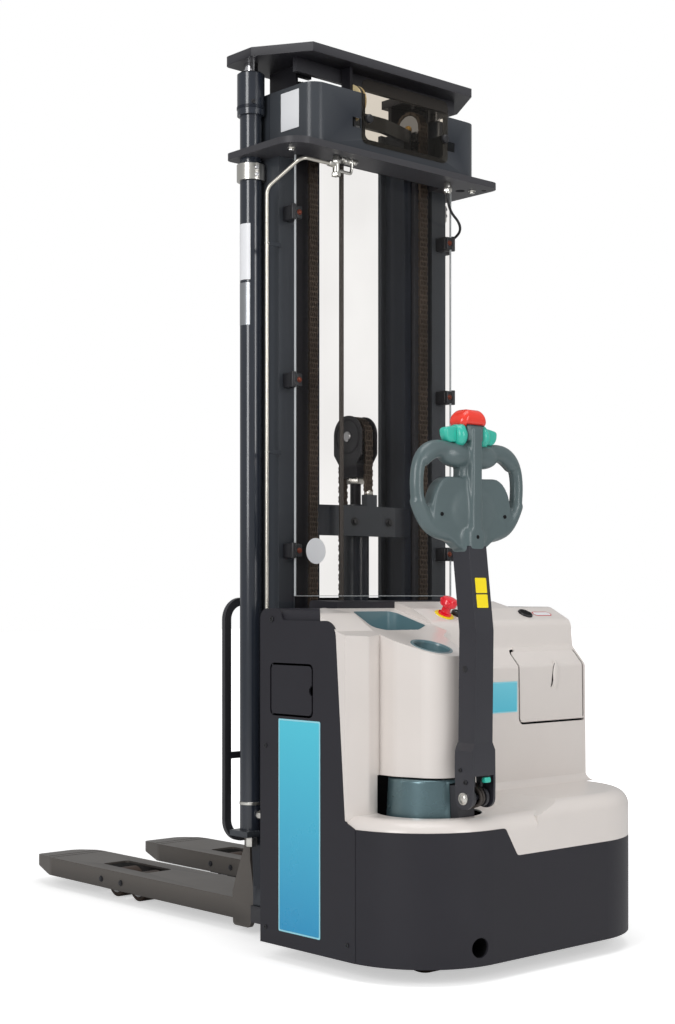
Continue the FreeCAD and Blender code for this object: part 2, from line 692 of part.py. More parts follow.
def steer_cap():
    """Teal drum over the motor, open below and notched for the tiller base."""
    drum = Part.makeCone(DRUM_R, DRUM_R - 5, DRUM_HIGH - DRUM_LOW, Vector(station(STEER_X), STEER_Y, DRUM_LOW))
    top_edge = [e for e in drum.Edges if abs(e.BoundBox.ZMin - DRUM_HIGH) < 0.01 and len(e.Vertexes) == 1]
    drum = drum.makeFillet(7, top_edge)
    hollow = rod_z(STEER_X, STEER_Y, DRUM_LOW - 1, DRUM_HIGH - 4, DRUM_R - 9)
    notch = box(0, STEER_X, STEER_Y - EAR_HALF_W - 1, STEER_Y + EAR_HALF_W + 1, DRUM_LOW - 1, DRUM_HIGH - 8)
    return cut(drum, [hollow, notch])


def tiller_base():
    """Bracket behind the drum whose two ears hold the tiller pivot."""
    pivot = STEER_X - PIVOT_REACH
    w = EAR_HALF_W
    block = box(pivot + 26, STEER_X - 60, STEER_Y - w, STEER_Y + w, 346, 430)
    ear = side_prism([
        (pivot - 20, PIVOT_Z - 20, 19),
        (pivot + 27, PIVOT_Z - 20, 0),
        (pivot + 27, PIVOT_Z + 20, 0),
        (pivot - 20, PIVOT_Z + 20, 19),
    ], STEER_Y - w, STEER_Y + w)
    slot = box(pivot - 30, pivot + 24, STEER_Y - w + 8, STEER_Y + w - 8, 0, 600)
    bore = rod_y(pivot, STEER_Y - w - 1, STEER_Y + w + 1, PIVOT_Z, PIVOT_R + FIT)
    motor = rod_z(STEER_X, STEER_Y, 300, 500, 66)
    return cut(fuse([block, ear]), [slot, bore, motor])


def tiller_arm():
    pivot = STEER_X - PIVOT_REACH
    back = pivot - ARM_D / 2
    front = pivot + ARM_D / 2
    half = ARM_W / 2
    beam = side_prism([
        (back, PIVOT_Z + 55, 0),
        (front, PIVOT_Z + 55, 0),
        (front - ARM_SET, ARM_KINK_Z, 60),
        (front - ARM_SET + ARM_LEAN, ARM_TOP_Z, 0),
        (back - ARM_SET + ARM_LEAN, ARM_TOP_Z, 0),
        (back - ARM_SET, ARM_KINK_Z, 60),
    ], STEER_Y - half, STEER_Y + half)
    yoke = rear_prism([
        (STEER_Y - YOKE_HALF_W, PIVOT_Z - 40, 0),
        (STEER_Y + YOKE_HALF_W, PIVOT_Z - 40, 0),
        (STEER_Y + YOKE_HALF_W, PIVOT_Z + 105, 0),
        (STEER_Y + half, PIVOT_Z + 122, 0),
        (STEER_Y - half, PIVOT_Z + 122, 0),
        (STEER_Y - YOKE_HALF_W, PIVOT_Z + 105, 0),
    ], 0, 200)
    side = side_prism([
        (pivot - 26, PIVOT_Z - 24, 23),
        (pivot + 24, PIVOT_Z - 24, 23),
        (front + 2, PIVOT_Z + 60, 20),
        (front + 1, PIVOT_Z + 122, 0),
        (back - 1, PIVOT_Z + 122, 0),
        (back - 2, PIVOT_Z + 30, 20),
    ], STEER_Y - YOKE_HALF_W, STEER_Y + YOKE_HALF_W)
    yoke = yoke.common(side)
    inner = YOKE_HALF_W - CHEEK_T
    slot = box(back - 20, front + 20, STEER_Y - inner, STEER_Y + inner, PIVOT_Z - 60, PIVOT_Z + 50)
    pin = rod_y(pivot, STEER_Y - YOKE_HALF_W - 2, STEER_Y + YOKE_HALF_W + 2, PIVOT_Z, PIVOT_R)
    return fuse([beam, yoke.cut(slot), pin])


HEAD_X = STEER_X - PIVOT_REACH - ARM_SET + ARM_LEAN + 4
HEAD_D = 36.0               # thickness of the head's lower paddle
SPINE_HALF_W = 17.0
SPINE_D = 44.0
GRIP_TOP_R = 18.0
BARREL_R = 31.0
BARREL_Z = 1157.0
BARREL_OUT = 86.0           # how far the barrels reach from the middle
THUMB_R = 22.0
THUMB_Z = 1203.0


def tiller_head():
    """Moulded head: lower paddle, spine, two barrels and two closed loop handles."""
    right = [(30, ARM_TOP_Z, 6), (56, ARM_TOP_Z + 6, 20), (132, 1010, 40), (119, 1052, 15),
             (113, 1092, 30), (62, 1112, 40)]
    outline = [(STEER_Y + y, z, r) for y, z, r in right]
    outline += [(STEER_Y - y, z, r) for y, z, r in reversed(right)]
    paddle = rear_prism(outline, HEAD_X - HEAD_D / 2, HEAD_X + HEAD_D / 2)
    spine = box(HEAD_X - SPINE_D / 2, HEAD_X + HEAD_D / 2, STEER_Y - SPINE_HALF_W,
                STEER_Y + SPINE_HALF_W, ARM_TOP_Z, HEAD_TOP_Z)
    barrel = rod_y(HEAD_X, STEER_Y - BARREL_OUT, STEER_Y + BARREL_OUT, BARREL_Z, BARREL_R)
    barrel = barrel.makeChamfer(6, [e for e in barrel.Edges if len(e.Vertexes) == 1])
    reach = HEAD_W / 2 - GRIP_R
    shapes = [paddle, spine, barrel]
    for side in (-1, 1):
        route = [(62, 992), (106, 1006), (reach, 1048), (reach, 1142), (50, 1172)]
        points = [Vector(station(HEAD_X), STEER_Y + side * y, z) for y, z in route]
        shapes.append(round_tube(points, [60, 50, 34], GRIP_R))
        start = Vector(station(HEAD_X), STEER_Y + side * 50, 1165)
        end = Vector(station(HEAD_X), STEER_Y + side * 132, 1150)
        shapes.append(Part.makeCylinder(GRIP_TOP_R, (end - start).Length, start, end - start))
    return fuse(shapes)


def tiller_controls():
    """Belly button and the two thumb wheels."""
    button = rear_prism([
        (STEER_Y - 42, HEAD_TOP_Z, 6),
        (STEER_Y + 42, HEAD_TOP_Z, 6),
        (STEER_Y + 40, BUTTON_TOP_Z - 6, 22),
        (STEER_Y - 40, BUTTON_TOP_Z - 6, 22),
    ], HEAD_X - 25, HEAD_X + 25)
    thumbs = []
    head = tiller_head()
    for side in (-1, 1):
        y0 = STEER_Y + side * (SPINE_HALF_W + 3)
        y1 = STEER_Y + side * BARREL_OUT
        wheel = rod_y(HEAD_X - 4, min(y0, y1), max(y0, y1), THUMB_Z, THUMB_R)
        wheel = wheel.cut(head).cut(button)
        thumbs.append(max(wheel.Solids, key=lambda solid: solid.Volume))
    return [button] + thumbs


def castor_fork():
    """Swivelling yoke of the right rear castor."""
    stem = rod_z(CASTOR_X, CASTOR_Y, 190, DECK_Z, STEM_R)
    collar = rod_z(CASTOR_X, CASTOR_Y, 196, DECK_Z - 35 - REST, 32)
    wheel_x = CASTOR_X - CASTOR_TRAIL
    half = 37.0
    top = box(wheel_x - 22, CASTOR_X + 30, CASTOR_Y - half - 6, CASTOR_Y + half + 6, 190, 197)
    shapes = [stem, collar, top]
    for side in (-1, 1):
        y = CASTOR_Y + side * (half + 3)
        shapes.append(side_prism([
            (wheel_x - 20, CASTOR_R - 20, 19),
            (wheel_x + 20, CASTOR_R - 20, 19),
            (CASTOR_X + 30, 190, 0),
            (wheel_x - 22, 190, 0),
        ], y - 3, y + 3))
    shapes.append(rod_y(wheel_x, CASTOR_Y - half - 1, CASTOR_Y + half + 1, CASTOR_R, AXLE_R))
    return fuse(shapes)


def castor_wheels():
    wheel_x = CASTOR_X - CASTOR_TRAIL
    shapes = [rod_y(wheel_x, CASTOR_Y - 32, CASTOR_Y + 32, CASTOR_R, 24)]
    for y in (CASTOR_Y - 32, CASTOR_Y + 5):
        shapes.append(rod_y(wheel_x, y, y + 27, CASTOR_R, CASTOR_R))
    return cut(fuse(shapes), [rod_y(wheel_x, CASTOR_Y - 40, CASTOR_Y + 40, CASTOR_R, AXLE_R + FIT)])


def support_leg():
    """Left leg under the fork, with the cheeks and axles of its tandem wheels."""
    half = LEG_W / 2
    first = LOAD_WHEELS[0] - LOAD_WHEEL_R
    last = LOAD_WHEELS[1] + LOAD_WHEEL_R
    bar = box(MAST_REAR + CHANNEL_D, first - RUN_GAP, FORK_Y - half, FORK_Y + half, LEG_BOTTOM, LEG_TOP)
    cheek_in = LOAD_WHEEL_W / 2 + RUN_GAP
    shapes = [bar]
    for side in (-1, 1):
        y0 = FORK_Y + side * cheek_in
        y1 = FORK_Y + side * (cheek_in + 12)
        shapes.append(side_prism([
            (first - 40, LEG_BOTTOM, 0),
            (first, 22, 10),
            (last + 14, 22, 14),
            (last + 14, 62, 10),
            (first - 40, 62, 0),
        ], min(y0, y1), max(y0, y1)))
    shapes.append(box(last + RUN_GAP, last + 13, FORK_Y - cheek_in - 2, FORK_Y + cheek_in + 2, 30, 56))
    for s in LOAD_WHEELS:
        shapes.append(rod_y(s, FORK_Y - cheek_in - 1, FORK_Y + cheek_in + 1, LOAD_WHEEL_R, AXLE_R))
    return fuse(shapes)


def load_wheel(s, side):
    y = side * FORK_Y
    half = LOAD_WHEEL_W / 2
    wheel = rod_y(s, y - half, y + half, LOAD_WHEEL_R, LOAD_WHEEL_R)
    wheel = rounded_rims(wheel, LOAD_WHEEL_R, 3)
    return wheel.cut(rod_y(s, y - half - 1, y + half + 1, LOAD_WHEEL_R, AXLE_R + FIT))


# ---------------------------------------------------------------- mast
def nest(level):
    """Station of the rear face and Y of the outer face of a nested channel."""
    rear = MAST_REAR + level * CHANNEL_STEP
    outer = OUTER_HALF_W - level * (CHANNEL_W + NEST_GAP)
    return rear, outer


def channel(level, z0, z1):
    """Left channel, open towards the middle."""
    rear, outer = nest(level)
    width = INNER_W if level == 2 else CHANNEL_W
    block = box(rear, rear + CHANNEL_D, outer - width, outer, z0, z1)
    hollow = box(rear + FLANGE_T, rear + CHANNEL_D - FLANGE_T, outer - width - 1, outer - WEB_T, z0 - 1, z1 + 1)
    return block.cut(hollow)


def rollers(level, heights):
    """Left guide rollers that run inside the channel one level out."""
    outer_rear = nest(level - 1)[0]
    y = nest(level)[1]
    radius = (CHANNEL_D - 2 * FLANGE_T) / 2 - REST
    reach = NEST_GAP + CHANNEL_W - WEB_T - 6
    return [rod_y(outer_rear + CHANNEL_D / 2, y - 1, y + reach, z, radius) for z in heights]


SHEAVE_R = 39.0
SHEAVE_Z = 2085.0
SHEAVE_AXLE_R = 10.0
CHAIN_X = 612.0             # station of the side chains' rear strands
CHAIN_T = 10.0              # thickness across the links
CHAIN_W = 27.0              # width over the plates
CHAIN_SIDE_GAP = 5.5        # between a side chain and the inner channel
SHEAVE_Y = nest(2)[1] + CHAIN_SIDE_GAP + CHAIN_W / 2
CHAIN_ANCHOR_Z = 640.0
INNER_ANCHOR_Z = 520.0
SHEAVE_X = CHAIN_X + CHAIN_T / 2 + SHEAVE_R
CROSS_REAR = 590.0          # station of the outer mast's cross plates


def outer_mast():
    shapes = both_sides(channel(0, OUTER_BOTTOM, OUTER_TOP))
    for z in (CHAIN_ANCHOR_Z - 60, 180):
        shapes.append(box(CROSS_REAR, CROSS_REAR + 10, -OUTER_HALF_W, OUTER_HALF_W, z, z + 60))
        shapes.extend(both_sides(box(CROSS_REAR + 9, MAST_REAR + 1, OUTER_HALF_W - 40, OUTER_HALF_W, z, z + 60)))
    half = CHAIN_W / 2
    lug = box(CROSS_REAR + 9, CHAIN_X + CHAIN_T / 2, SHEAVE_Y - half, SHEAVE_Y + half,
              CHAIN_ANCHOR_Z - 40, CHAIN_ANCHOR_Z)
    foot = box(CYL_X - 41, CYL_X + 27, OUTER_HALF_W - 1, CYL_Y + 45, CYL_FOOT_Z - 14, CYL_FOOT_Z)
    gusset = side_prism([
        (CYL_X - 35, CYL_FOOT_Z - 13, 0),
        (CYL_X + 20, CYL_FOOT_Z - 13, 0),
        (CYL_X + 10, 130, 0),
        (CYL_X - 25, 130, 0),
    ], OUTER_HALF_W - 1, OUTER_HALF_W + 12)
    return fuse(shapes + both_sides(lug) + both_sides(foot) + both_sides(gusset))


HEAD_PLATE_HALF = CYL_Y + 40
HEAD_PLATE_REAR = 490.0
HEAD_PLATE_FRONT = 752.0


def mast_head_plate():
    """Flange that ties the outer channels together and steadies the cylinders."""
    y = HEAD_PLATE_HALF
    front = HEAD_PLATE_FRONT
    opening_rear = CROSS_REAR
    opening_y = nest(1)[1] + RUN_GAP
    middle_front = MAST_REAR + CHANNEL_D
    lug_y = CARRIAGE_HALF_W + RUN_GAP
    plate = prism(plan([
        (HEAD_PLATE_REAR, -y, 28),
        (HEAD_PLATE_REAR, y, 60),
        (front, y, 20),
        (front, lug_y, 4),
        (middle_front, lug_y, 0),
        (middle_front, opening_y, 0),
        (opening_rear, opening_y, 12),
        (opening_rear, -opening_y, 12),
        (middle_front, -opening_y, 0),
        (middle_front, -lug_y, 0),
        (front, -lug_y, 4),
        (front, -y, 20),
    ]), OUTER_TOP, OUTER_TOP + HEAD_PLATE_T)
    holes = [rod_z(CYL_X, side * CYL_Y, OUTER_TOP - 1, OUTER_TOP + 30, CYL_R + REST) for side in (-1, 1)]
    holes.append(rod_z(MAST_REAR - 54, -OUTER_HALF_W, OUTER_TOP - 1, OUTER_TOP + 30, 13))
    holes.append(rod_z(HEAD_PLATE_REAR + 38, 23 - HEAD_PLATE_HALF, OUTER_TOP - 1, OUTER_TOP + 30, 7))
    return cut(plate, holes)


WINDOW_Y = -22.0            # middle of the mast-head window
WINDOW_W = 300.0
WINDOW_LOW = 1965.0
WINDOW_HIGH = 2124.0


def mast_head_guard():
    """Sheet box round the sheaves, with its window opening and slots."""
    y = GUARD_HALF_W
    front = 665.0
    low = OUTER_TOP + HEAD_PLATE_T
    outer = plan([(GUARD_REAR, -y, 40), (GUARD_REAR, y, 40), (front, y, 0), (front, -y, 0)])
    inner = plan([
        (GUARD_REAR + GUARD_T, -y + GUARD_T, 37), (GUARD_REAR + GUARD_T, y - GUARD_T, 37),
        (front + 1, y - GUARD_T, 0), (front + 1, -y + GUARD_T, 0)])
    shell = prism(outer, low, GUARD_TOP).cut(prism(inner, low - 1, GUARD_TOP + 1))
    half = WINDOW_W / 2 - 12
    tools = [rear_prism([
        (WINDOW_Y - half, WINDOW_LOW + 12, 14), (WINDOW_Y + half, WINDOW_LOW + 12, 14),
        (WINDOW_Y + half, GUARD_TOP + 20, 0), (WINDOW_Y - half, GUARD_TOP + 20, 0),
    ], GUARD_REAR - 5, GUARD_REAR + 10)]
    for slot_y in (WINDOW_Y + half + 28, WINDOW_Y - half - 28):
        tools.append(box(GUARD_REAR - 5, GUARD_REAR + 10, slot_y - 14, slot_y + 14, 2000, 2024))
    return cut(shell, tools)


def guard_window():
    half = WINDOW_W / 2
    return rear_prism([
        (WINDOW_Y - half, WINDOW_LOW, 18), (WINDOW_Y + half, WINDOW_LOW, 18),
        (WINDOW_Y + half, WINDOW_HIGH, 18), (WINDOW_Y - half, WINDOW_HIGH, 18),
    ], GUARD_REAR - 4, GUARD_REAR)


SHIELD_Y = OUTER_HALF_W - 20
SHIELD_LOW = 850.0
SHIELD_T = 5.0
CLAMP_Z = (961.0, 1378.0, 1787.0)


def mast_shield():
    return box(CROSS_REAR - SHIELD_T, CROSS_REAR, -SHIELD_Y, SHIELD_Y, SHIELD_LOW, OUTER_TOP)


def shield_clamps():
    shapes = []
    for z in CLAMP_Z:
        clamp = box(CROSS_REAR, MAST_REAR, SHIELD_Y - 18, SHIELD_Y + 8, z - 18, z + 18)
        shapes.extend(both_sides(clamp))
    return shapes


def lift_cylinder():
    tube = rod_z(CYL_X, CYL_Y, CYL_FOOT_Z, CYL_TUBE_TOP, CYL_R)
    gland = rod_z(CYL_X, CYL_Y, CYL_TUBE_TOP, GLAND_TOP, GLAND_R)
    bore = rod_z(CYL_X, CYL_Y, CYL_FOOT_Z + 25, CYL_TUBE_TOP, CYL_BORE)
    port = rod_x(CYL_X - 48, CYL_X - 20, CYL_Y, CYL_FOOT_Z + 38, 8)
    neck = rod_z(CYL_X, CYL_Y, CYL_TUBE_TOP - 1, GLAND_TOP + 1, ROD_R + FIT)
    return cut(fuse([tube, gland, port]), [bore, neck])


def cylinder_clamps():
    shapes = []
    low = OUTER_TOP - 56
    high = OUTER_TOP - 16
    for side in (-1, 1):
        ring = rod_z(CYL_X, side * CYL_Y, low, high, CYL_R + 8)
        block = box(CYL_X - 14, CYL_X + 20, OUTER_HALF_W, CYL_Y, low, high)
        if side < 0:
            block = mirror_y(block)
        shape = fuse([ring, block]).cut(rod_z(CYL_X, side * CYL_Y, low - 1, high + 1, CYL_R))
        shape = shape.cut(box(0, OVERALL_LENGTH, -OUTER_HALF_W, OUTER_HALF_W, low - 1, high + 1))
        shapes.append(max(shape.Solids, key=lambda solid: solid.Volume))
    return shapes


PIPE_R = 4.5
PIPE_X = 618.0              # station of the pipe's long upright run
PIPE_REAR = 530.0


def hydraulic_pipe():
    """Steel pipe from the mast head down the left side to the cylinder port."""
    route = [
        (PIPE_REAR, OUTER_HALF_W - 92, OUTER_TOP - 23),
        (PIPE_REAR, OUTER_HALF_W + 8, OUTER_TOP - 23),
        (PIPE_X, CYL_Y + 15, OUTER_TOP - 88),
        (PIPE_X, CYL_Y + 15, CYL_FOOT_Z + 170),
        (PIPE_X, CYL_Y, CYL_FOOT_Z + 110),
        (PIPE_X, CYL_Y, CYL_FOOT_Z + 38),
        (CYL_X - 48 - REST, CYL_Y, CYL_FOOT_Z + 38),
    ]
    points = [Vector(station(s), y, z) for s, y, z in route]
    return round_tube(points, [25, 30, 30, 30, 14], PIPE_R)


def limit_switch():
    body = box(MAST_REAR + 8, MAST_REAR + 38, -OUTER_HALF_W - 24, -OUTER_HALF_W, 1770, 1815)
    cable = rod_z(MAST_REAR + 20, -OUTER_HALF_W - 6, 820, 1771, 3)
    clips = [box(MAST_REAR + 14, MAST_REAR + 26, -OUTER_HALF_W - 10, -OUTER_HALF_W, z, z + 12)
             for z in (1000, 1230, 1460, 1690)]
    return fuse([body, cable] + clips)


TOP_PLATE_REAR = 515.0
TOP_PLATE_FRONT = 755.0


BEAM_REAR = 578.0           # beam under the top plate
BEAM_T = 12.0
BEAM_LOW = 2128.0
PULLEY_X = 560.0            # hose pulley behind the mast
PULLEY_Y = 110.0
PULLEY_Z = 2078.0
PULLEY_R = 38.0
PULLEY_W = 20.0
HOSE_R = 6.0


def intermediate_mast():
    """Middle stage: channels, beam and the thick plate on the rods."""
    rear, outer = nest(1)
    leg = channel(1, MID_BOTTOM, MID_TOP + 1)
    reach = SHEAVE_R + CHAIN_T + RUN_GAP
    window = box(rear - 1, rear + FLANGE_T + 1, outer - CHANNEL_W - 1, outer - WEB_T,
                 SHEAVE_Z - reach, SHEAVE_Z + reach)
    axle = rod_y(SHEAVE_X, SHEAVE_Y - SHEAVE_W / 2 - 2, outer - WEB_T + 1, SHEAVE_Z, SHEAVE_AXLE_R)
    shapes = both_sides(fuse([leg.cut(window), axle]))
    for roller in rollers(1, (150, 420)):
        shapes.extend(both_sides(roller))
    beam_y = OUTER_HALF_W - 15
    shapes.append(box(BEAM_REAR, BEAM_REAR + BEAM_T, -beam_y, beam_y, BEAM_LOW, MID_TOP + 1))
    inner_y = nest(2)[1] + RUN_GAP
    y = HEAD_PLATE_HALF
    wing = TOP_PLATE_REAR + 133
    opening = BEAM_REAR + BEAM_T + 6
    plate = prism(plan([
        (TOP_PLATE_REAR, -beam_y, 0),
        (TOP_PLATE_REAR, beam_y, 0),
        (wing, y, 0),
        (TOP_PLATE_FRONT, y, 18),
        (TOP_PLATE_FRONT, inner_y, 0),
        (opening, inner_y, 0),
        (opening, -inner_y, 0),
        (TOP_PLATE_FRONT, -inner_y, 0),
        (TOP_PLATE_FRONT, -y, 18),
        (wing, -y, 0),
    ]), MID_TOP, MID_TOP + TOP_PLATE_T)
    shapes.append(plate)
    bracket_y = PULLEY_Y + PULLEY_W / 2 + 2
    shapes.append(box(PULLEY_X - 16, PULLEY_X + 16, bracket_y, bracket_y + 8, PULLEY_Z - 16, MID_TOP + 1))
    shapes.append(rod_y(PULLEY_X, PULLEY_Y - PULLEY_W / 2 - 2, bracket_y + 1, PULLEY_Z, SHEAVE_AXLE_R))
    return fuse(shapes)


SHEAVE_W = 24.0


def side_sheaves():
    half = SHEAVE_W / 2
    sheave = rod_y(SHEAVE_X, SHEAVE_Y - half, SHEAVE_Y + half, SHEAVE_Z, SHEAVE_R - REST)
    return both_sides(sheave.cut(rod_y(SHEAVE_X, 0, OUTER_HALF_W, SHEAVE_Z, SHEAVE_AXLE_R + FIT)))


def hose_pulley():
    half = PULLEY_W / 2
    rim = rod_y(PULLEY_X, PULLEY_Y - half, PULLEY_Y + half, PULLEY_Z, PULLEY_R + 6)
    groove = rod_y(PULLEY_X, PULLEY_Y - half + 4, PULLEY_Y + half - 4, PULLEY_Z, PULLEY_R + 7)
    core = rod_y(PULLEY_X, PULLEY_Y - half + 3, PULLEY_Y + half - 3, PULLEY_Z, PULLEY_R - HOSE_R - REST)
    pulley = fuse([rim.cut(groove), core])
    return pulley.cut(rod_y(PULLEY_X, 0, 2 * PULLEY_Y, PULLEY_Z, SHEAVE_AXLE_R + FIT))


def mast_hose():
    """Hose from the lower cross plate over its pulley to the head plate."""
    front = PULLEY_X + PULLEY_R
    back = PULLEY_X - PULLEY_R
    top = PULLEY_Z + PULLEY_R
    low = OUTER_TOP + HEAD_PLATE_T
    route = [(front, CHAIN_ANCHOR_Z), (front, top), (back, top), (back, low)]
    points = [Vector(station(x), PULLEY_Y, z) for x, z in route]
    return round_tube(points, [PULLEY_R - 0.5, PULLEY_R - 0.5], HOSE_R)


def cylinder_rods():
    return [rod_z(CYL_X, side * CYL_Y, CYL_FOOT_Z + 60, MID_TOP, ROD_R) for side in (-1, 1)]


def chain_run(x0, y, half, z_low, z_top):
    """Straight band of chain, CHAIN_T thick, from one height to another."""
    return box(x0, x0 + CHAIN_T, y - half, y + half, z_low, z_top)


def side_chains_rear():
    """Strands from the outer mast's lugs up and over the sheaves."""
    half = CHAIN_W / 2
    strand = chain_run(SHEAVE_X - SHEAVE_R - CHAIN_T, SHEAVE_Y, half, CHAIN_ANCHOR_Z, SHEAVE_Z)
    ring = rod_y(SHEAVE_X, SHEAVE_Y - half, SHEAVE_Y + half, SHEAVE_Z, SHEAVE_R + CHAIN_T)
    ring = ring.cut(rod_y(SHEAVE_X, SHEAVE_Y - half - 1, SHEAVE_Y + half + 1, SHEAVE_Z, SHEAVE_R))
    ring = ring.common(box(0, OVERALL_LENGTH, 0, HALF_W, SHEAVE_Z, 2 * SHEAVE_Z))
    return both_sides(fuse([strand, ring]))


def side_chains_front():
    """Strands from the sheaves down to the inner mast."""
    strand = chain_run(SHEAVE_X + SHEAVE_R, SHEAVE_Y, CHAIN_W / 2, INNER_ANCHOR_Z, SHEAVE_Z)
    return both_sides(strand)


FREE_X = 680.0              # free-lift cylinder
FREE_Y = -14.0
FREE_R = 35.0
FREE_TOP = 1086.0
FREE_ROD_R = 14.0
FREE_SHEAVE_Z = 1262.0
FREE_SHEAVE_R = 43.0
FREE_CHEEK_R = 52.0
CROSS_T = 13.0              # inner mast's bowed cross members
CROSS_LOW = 1003.0
CROSS_HIGH = 1080.0
FREE_HALF_W = 29.0


def bowed_plate(y_end, bow, z0, z1):
    """Cross member that bows rearwards between the inner channels."""
    rear = nest(2)[0]
    t = CROSS_T
    wire = plan([
        (rear, -y_end, 0),
        (rear - bow * 0.6, -y_end * 0.62, 60),
        (rear - bow, -y_end * 0.3, 60),
        (rear - bow, y_end * 0.3, 60),
        (rear - bow * 0.6, y_end * 0.62, 60),
        (rear, y_end, 0),
        (rear + t, y_end, 0),
        (rear + t - bow * 0.6, y_end * 0.6, 60),
        (rear + t - bow, y_end * 0.28, 60),
        (rear + t - bow, -y_end * 0.28, 60),
        (rear + t - bow * 0.6, -y_end * 0.6, 60),
        (rear + t, -y_end, 0),
    ])
    return prism(wire, z0, z1)


def inner_mast():
    rear, outer = nest(2)
    shapes = both_sides(channel(2, INNER_BOTTOM, INNER_TOP))
    for roller in rollers(2, (150, 420)):
        shapes.extend(both_sides(roller))
    y = outer - WEB_T + 1
    shapes.append(box(rear, rear + 7, -y, y, 200, 250))
    shapes.append(bowed_plate(y, 19, CROSS_LOW, CROSS_HIGH))
    shapes.append(bowed_plate(y, 32, INNER_TOP - 36, INNER_TOP))
    anchor = box(rear - 19, FREE_X - FREE_SHEAVE_R, FREE_Y - 18, FREE_Y + 18, CROSS_HIGH - 1, CROSS_HIGH + 30)
    shapes.append(anchor)
    shapes.append(box(rear, FREE_X + FREE_R - 10, -y, y, INNER_BOTTOM, INNER_BOTTOM + 26))
    half = CHAIN_W / 2
    lug = box(SHEAVE_X + SHEAVE_R - 5, SHEAVE_X + SHEAVE_R + CHAIN_T + 5, outer - 1, SHEAVE_Y + half,
              INNER_ANCHOR_Z - 40, INNER_ANCHOR_Z)
    return fuse(shapes + both_sides(lug))


def free_lift_cylinder():
    rear = nest(2)[0]
    tube = rod_z(FREE_X, FREE_Y, INNER_BOTTOM + 26, FREE_TOP, FREE_R)
    bore = rod_z(FREE_X, FREE_Y, INNER_BOTTOM + 50, FREE_TOP - 60, FREE_R - 10)
    neck = rod_z(FREE_X, FREE_Y, FREE_TOP - 61, FREE_TOP + 1, FREE_ROD_R + FIT)
    saddle = box(rear - 19 + CROSS_T, FREE_X, FREE_Y - 28, FREE_Y + 28, CROSS_LOW + 5, CROSS_HIGH - 12)
    return cut(fuse([tube, saddle]), [bore, neck])


def free_lift_head():
    """Free-lift piston rod with the yoke and guard of its sheave."""
    y = FREE_HALF_W
    rod = rod_z(FREE_X, FREE_Y, INNER_BOTTOM + 60, FREE_SHEAVE_Z - 70, FREE_ROD_R)
    block = box(FREE_X - 33, FREE_X + 33, FREE_Y - y, FREE_Y + y, FREE_SHEAVE_Z - 106, FREE_SHEAVE_Z - 64)
    r = FREE_CHEEK_R
    guard = side_prism([
        (FREE_X - 33, FREE_SHEAVE_Z - 72, 0),
        (FREE_X + 33, FREE_SHEAVE_Z - 72, 0),
        (FREE_X + r, FREE_SHEAVE_Z - 46, 10),
        (FREE_X + r, FREE_SHEAVE_Z + 54, 50),
        (FREE_X - r, FREE_SHEAVE_Z + 54, 50),
        (FREE_X - r, FREE_SHEAVE_Z - 46, 10),
    ], FREE_Y - y, FREE_Y + y)
    inside = box(0, OVERALL_LENGTH, FREE_Y - y + 5, FREE_Y + y - 5, FREE_SHEAVE_Z - 63, FREE_SHEAVE_Z + 80)
    axle = rod_y(FREE_X, FREE_Y - y, FREE_Y + y, FREE_SHEAVE_Z, 9)
    return fuse([rod, block, guard.cut(inside), axle])


def free_lift_sheave():
    sheave = rod_y(FREE_X, FREE_Y - 22, FREE_Y + 22, FREE_SHEAVE_Z, FREE_SHEAVE_R - REST)
    return sheave.cut(rod_y(FREE_X, FREE_Y - 23, FREE_Y + 23, FREE_SHEAVE_Z, 9 + FIT))


def free_lift_chain_rear():
    """Strand from the crossmember up and over the free-lift sheave."""
    strand = chain_run(FREE_X - FREE_SHEAVE_R - CHAIN_T, FREE_Y, 13, CROSS_HIGH + 30, FREE_SHEAVE_Z)
    ring = rod_y(FREE_X, FREE_Y - 13, FREE_Y + 13, FREE_SHEAVE_Z, FREE_SHEAVE_R + CHAIN_T)
    ring = ring.cut(rod_y(FREE_X, FREE_Y - 14, FREE_Y + 14, FREE_SHEAVE_Z, FREE_SHEAVE_R))
    ring = ring.common(box(0, OVERALL_LENGTH, -HALF_W, HALF_W, FREE_SHEAVE_Z, MID_TOP))
    return fuse([strand, ring])


def free_lift_chain_front():
    return chain_run(FREE_X + FREE_SHEAVE_R, FREE_Y, 13, CARRIAGE_ANCHOR_Z, FREE_SHEAVE_Z)


# ---------------------------------------------------------------- fork carriage
CARRIAGE_FRONT = SHANK_REAR + SHANK_T
CARRIAGE_ANCHOR_Z = 372.0
CARRIAGE_HALF_W = 300.0


def carriage():
    y_plate = nest(2)[1] - INNER_W - RUN_GAP
    lower = box(SHANK_REAR, CARRIAGE_FRONT, -CARRIAGE_HALF_W, CARRIAGE_HALF_W, SHANK_TOP, SHANK_TOP + 60)
    upper = box(SHANK_REAR, CARRIAGE_FRONT, -CARRIAGE_HALF_W, CARRIAGE_HALF_W, 470, 520)
    shapes = [lower, upper]
    plate = box(655, SHANK_REAR, y_plate - 16, y_plate, 140, 560)
    shapes.extend(both_sides(plate))
    centre = nest(2)[0] + CHANNEL_D / 2
    radius = (CHANNEL_D - 2 * FLANGE_T) / 2 - REST
    for z in (185, 510):
        roller = rod_y(centre, y_plate - 1, nest(2)[1] - WEB_T - 6, z, radius)
        shapes.extend(both_sides(roller))
    anchor_x = FREE_X + FREE_SHEAVE_R
    shapes.append(box(anchor_x, SHANK_REAR + 1, FREE_Y - 16, FREE_Y + 16, SHANK_TOP + 20, CARRIAGE_ANCHOR_Z))
    return fuse(shapes)


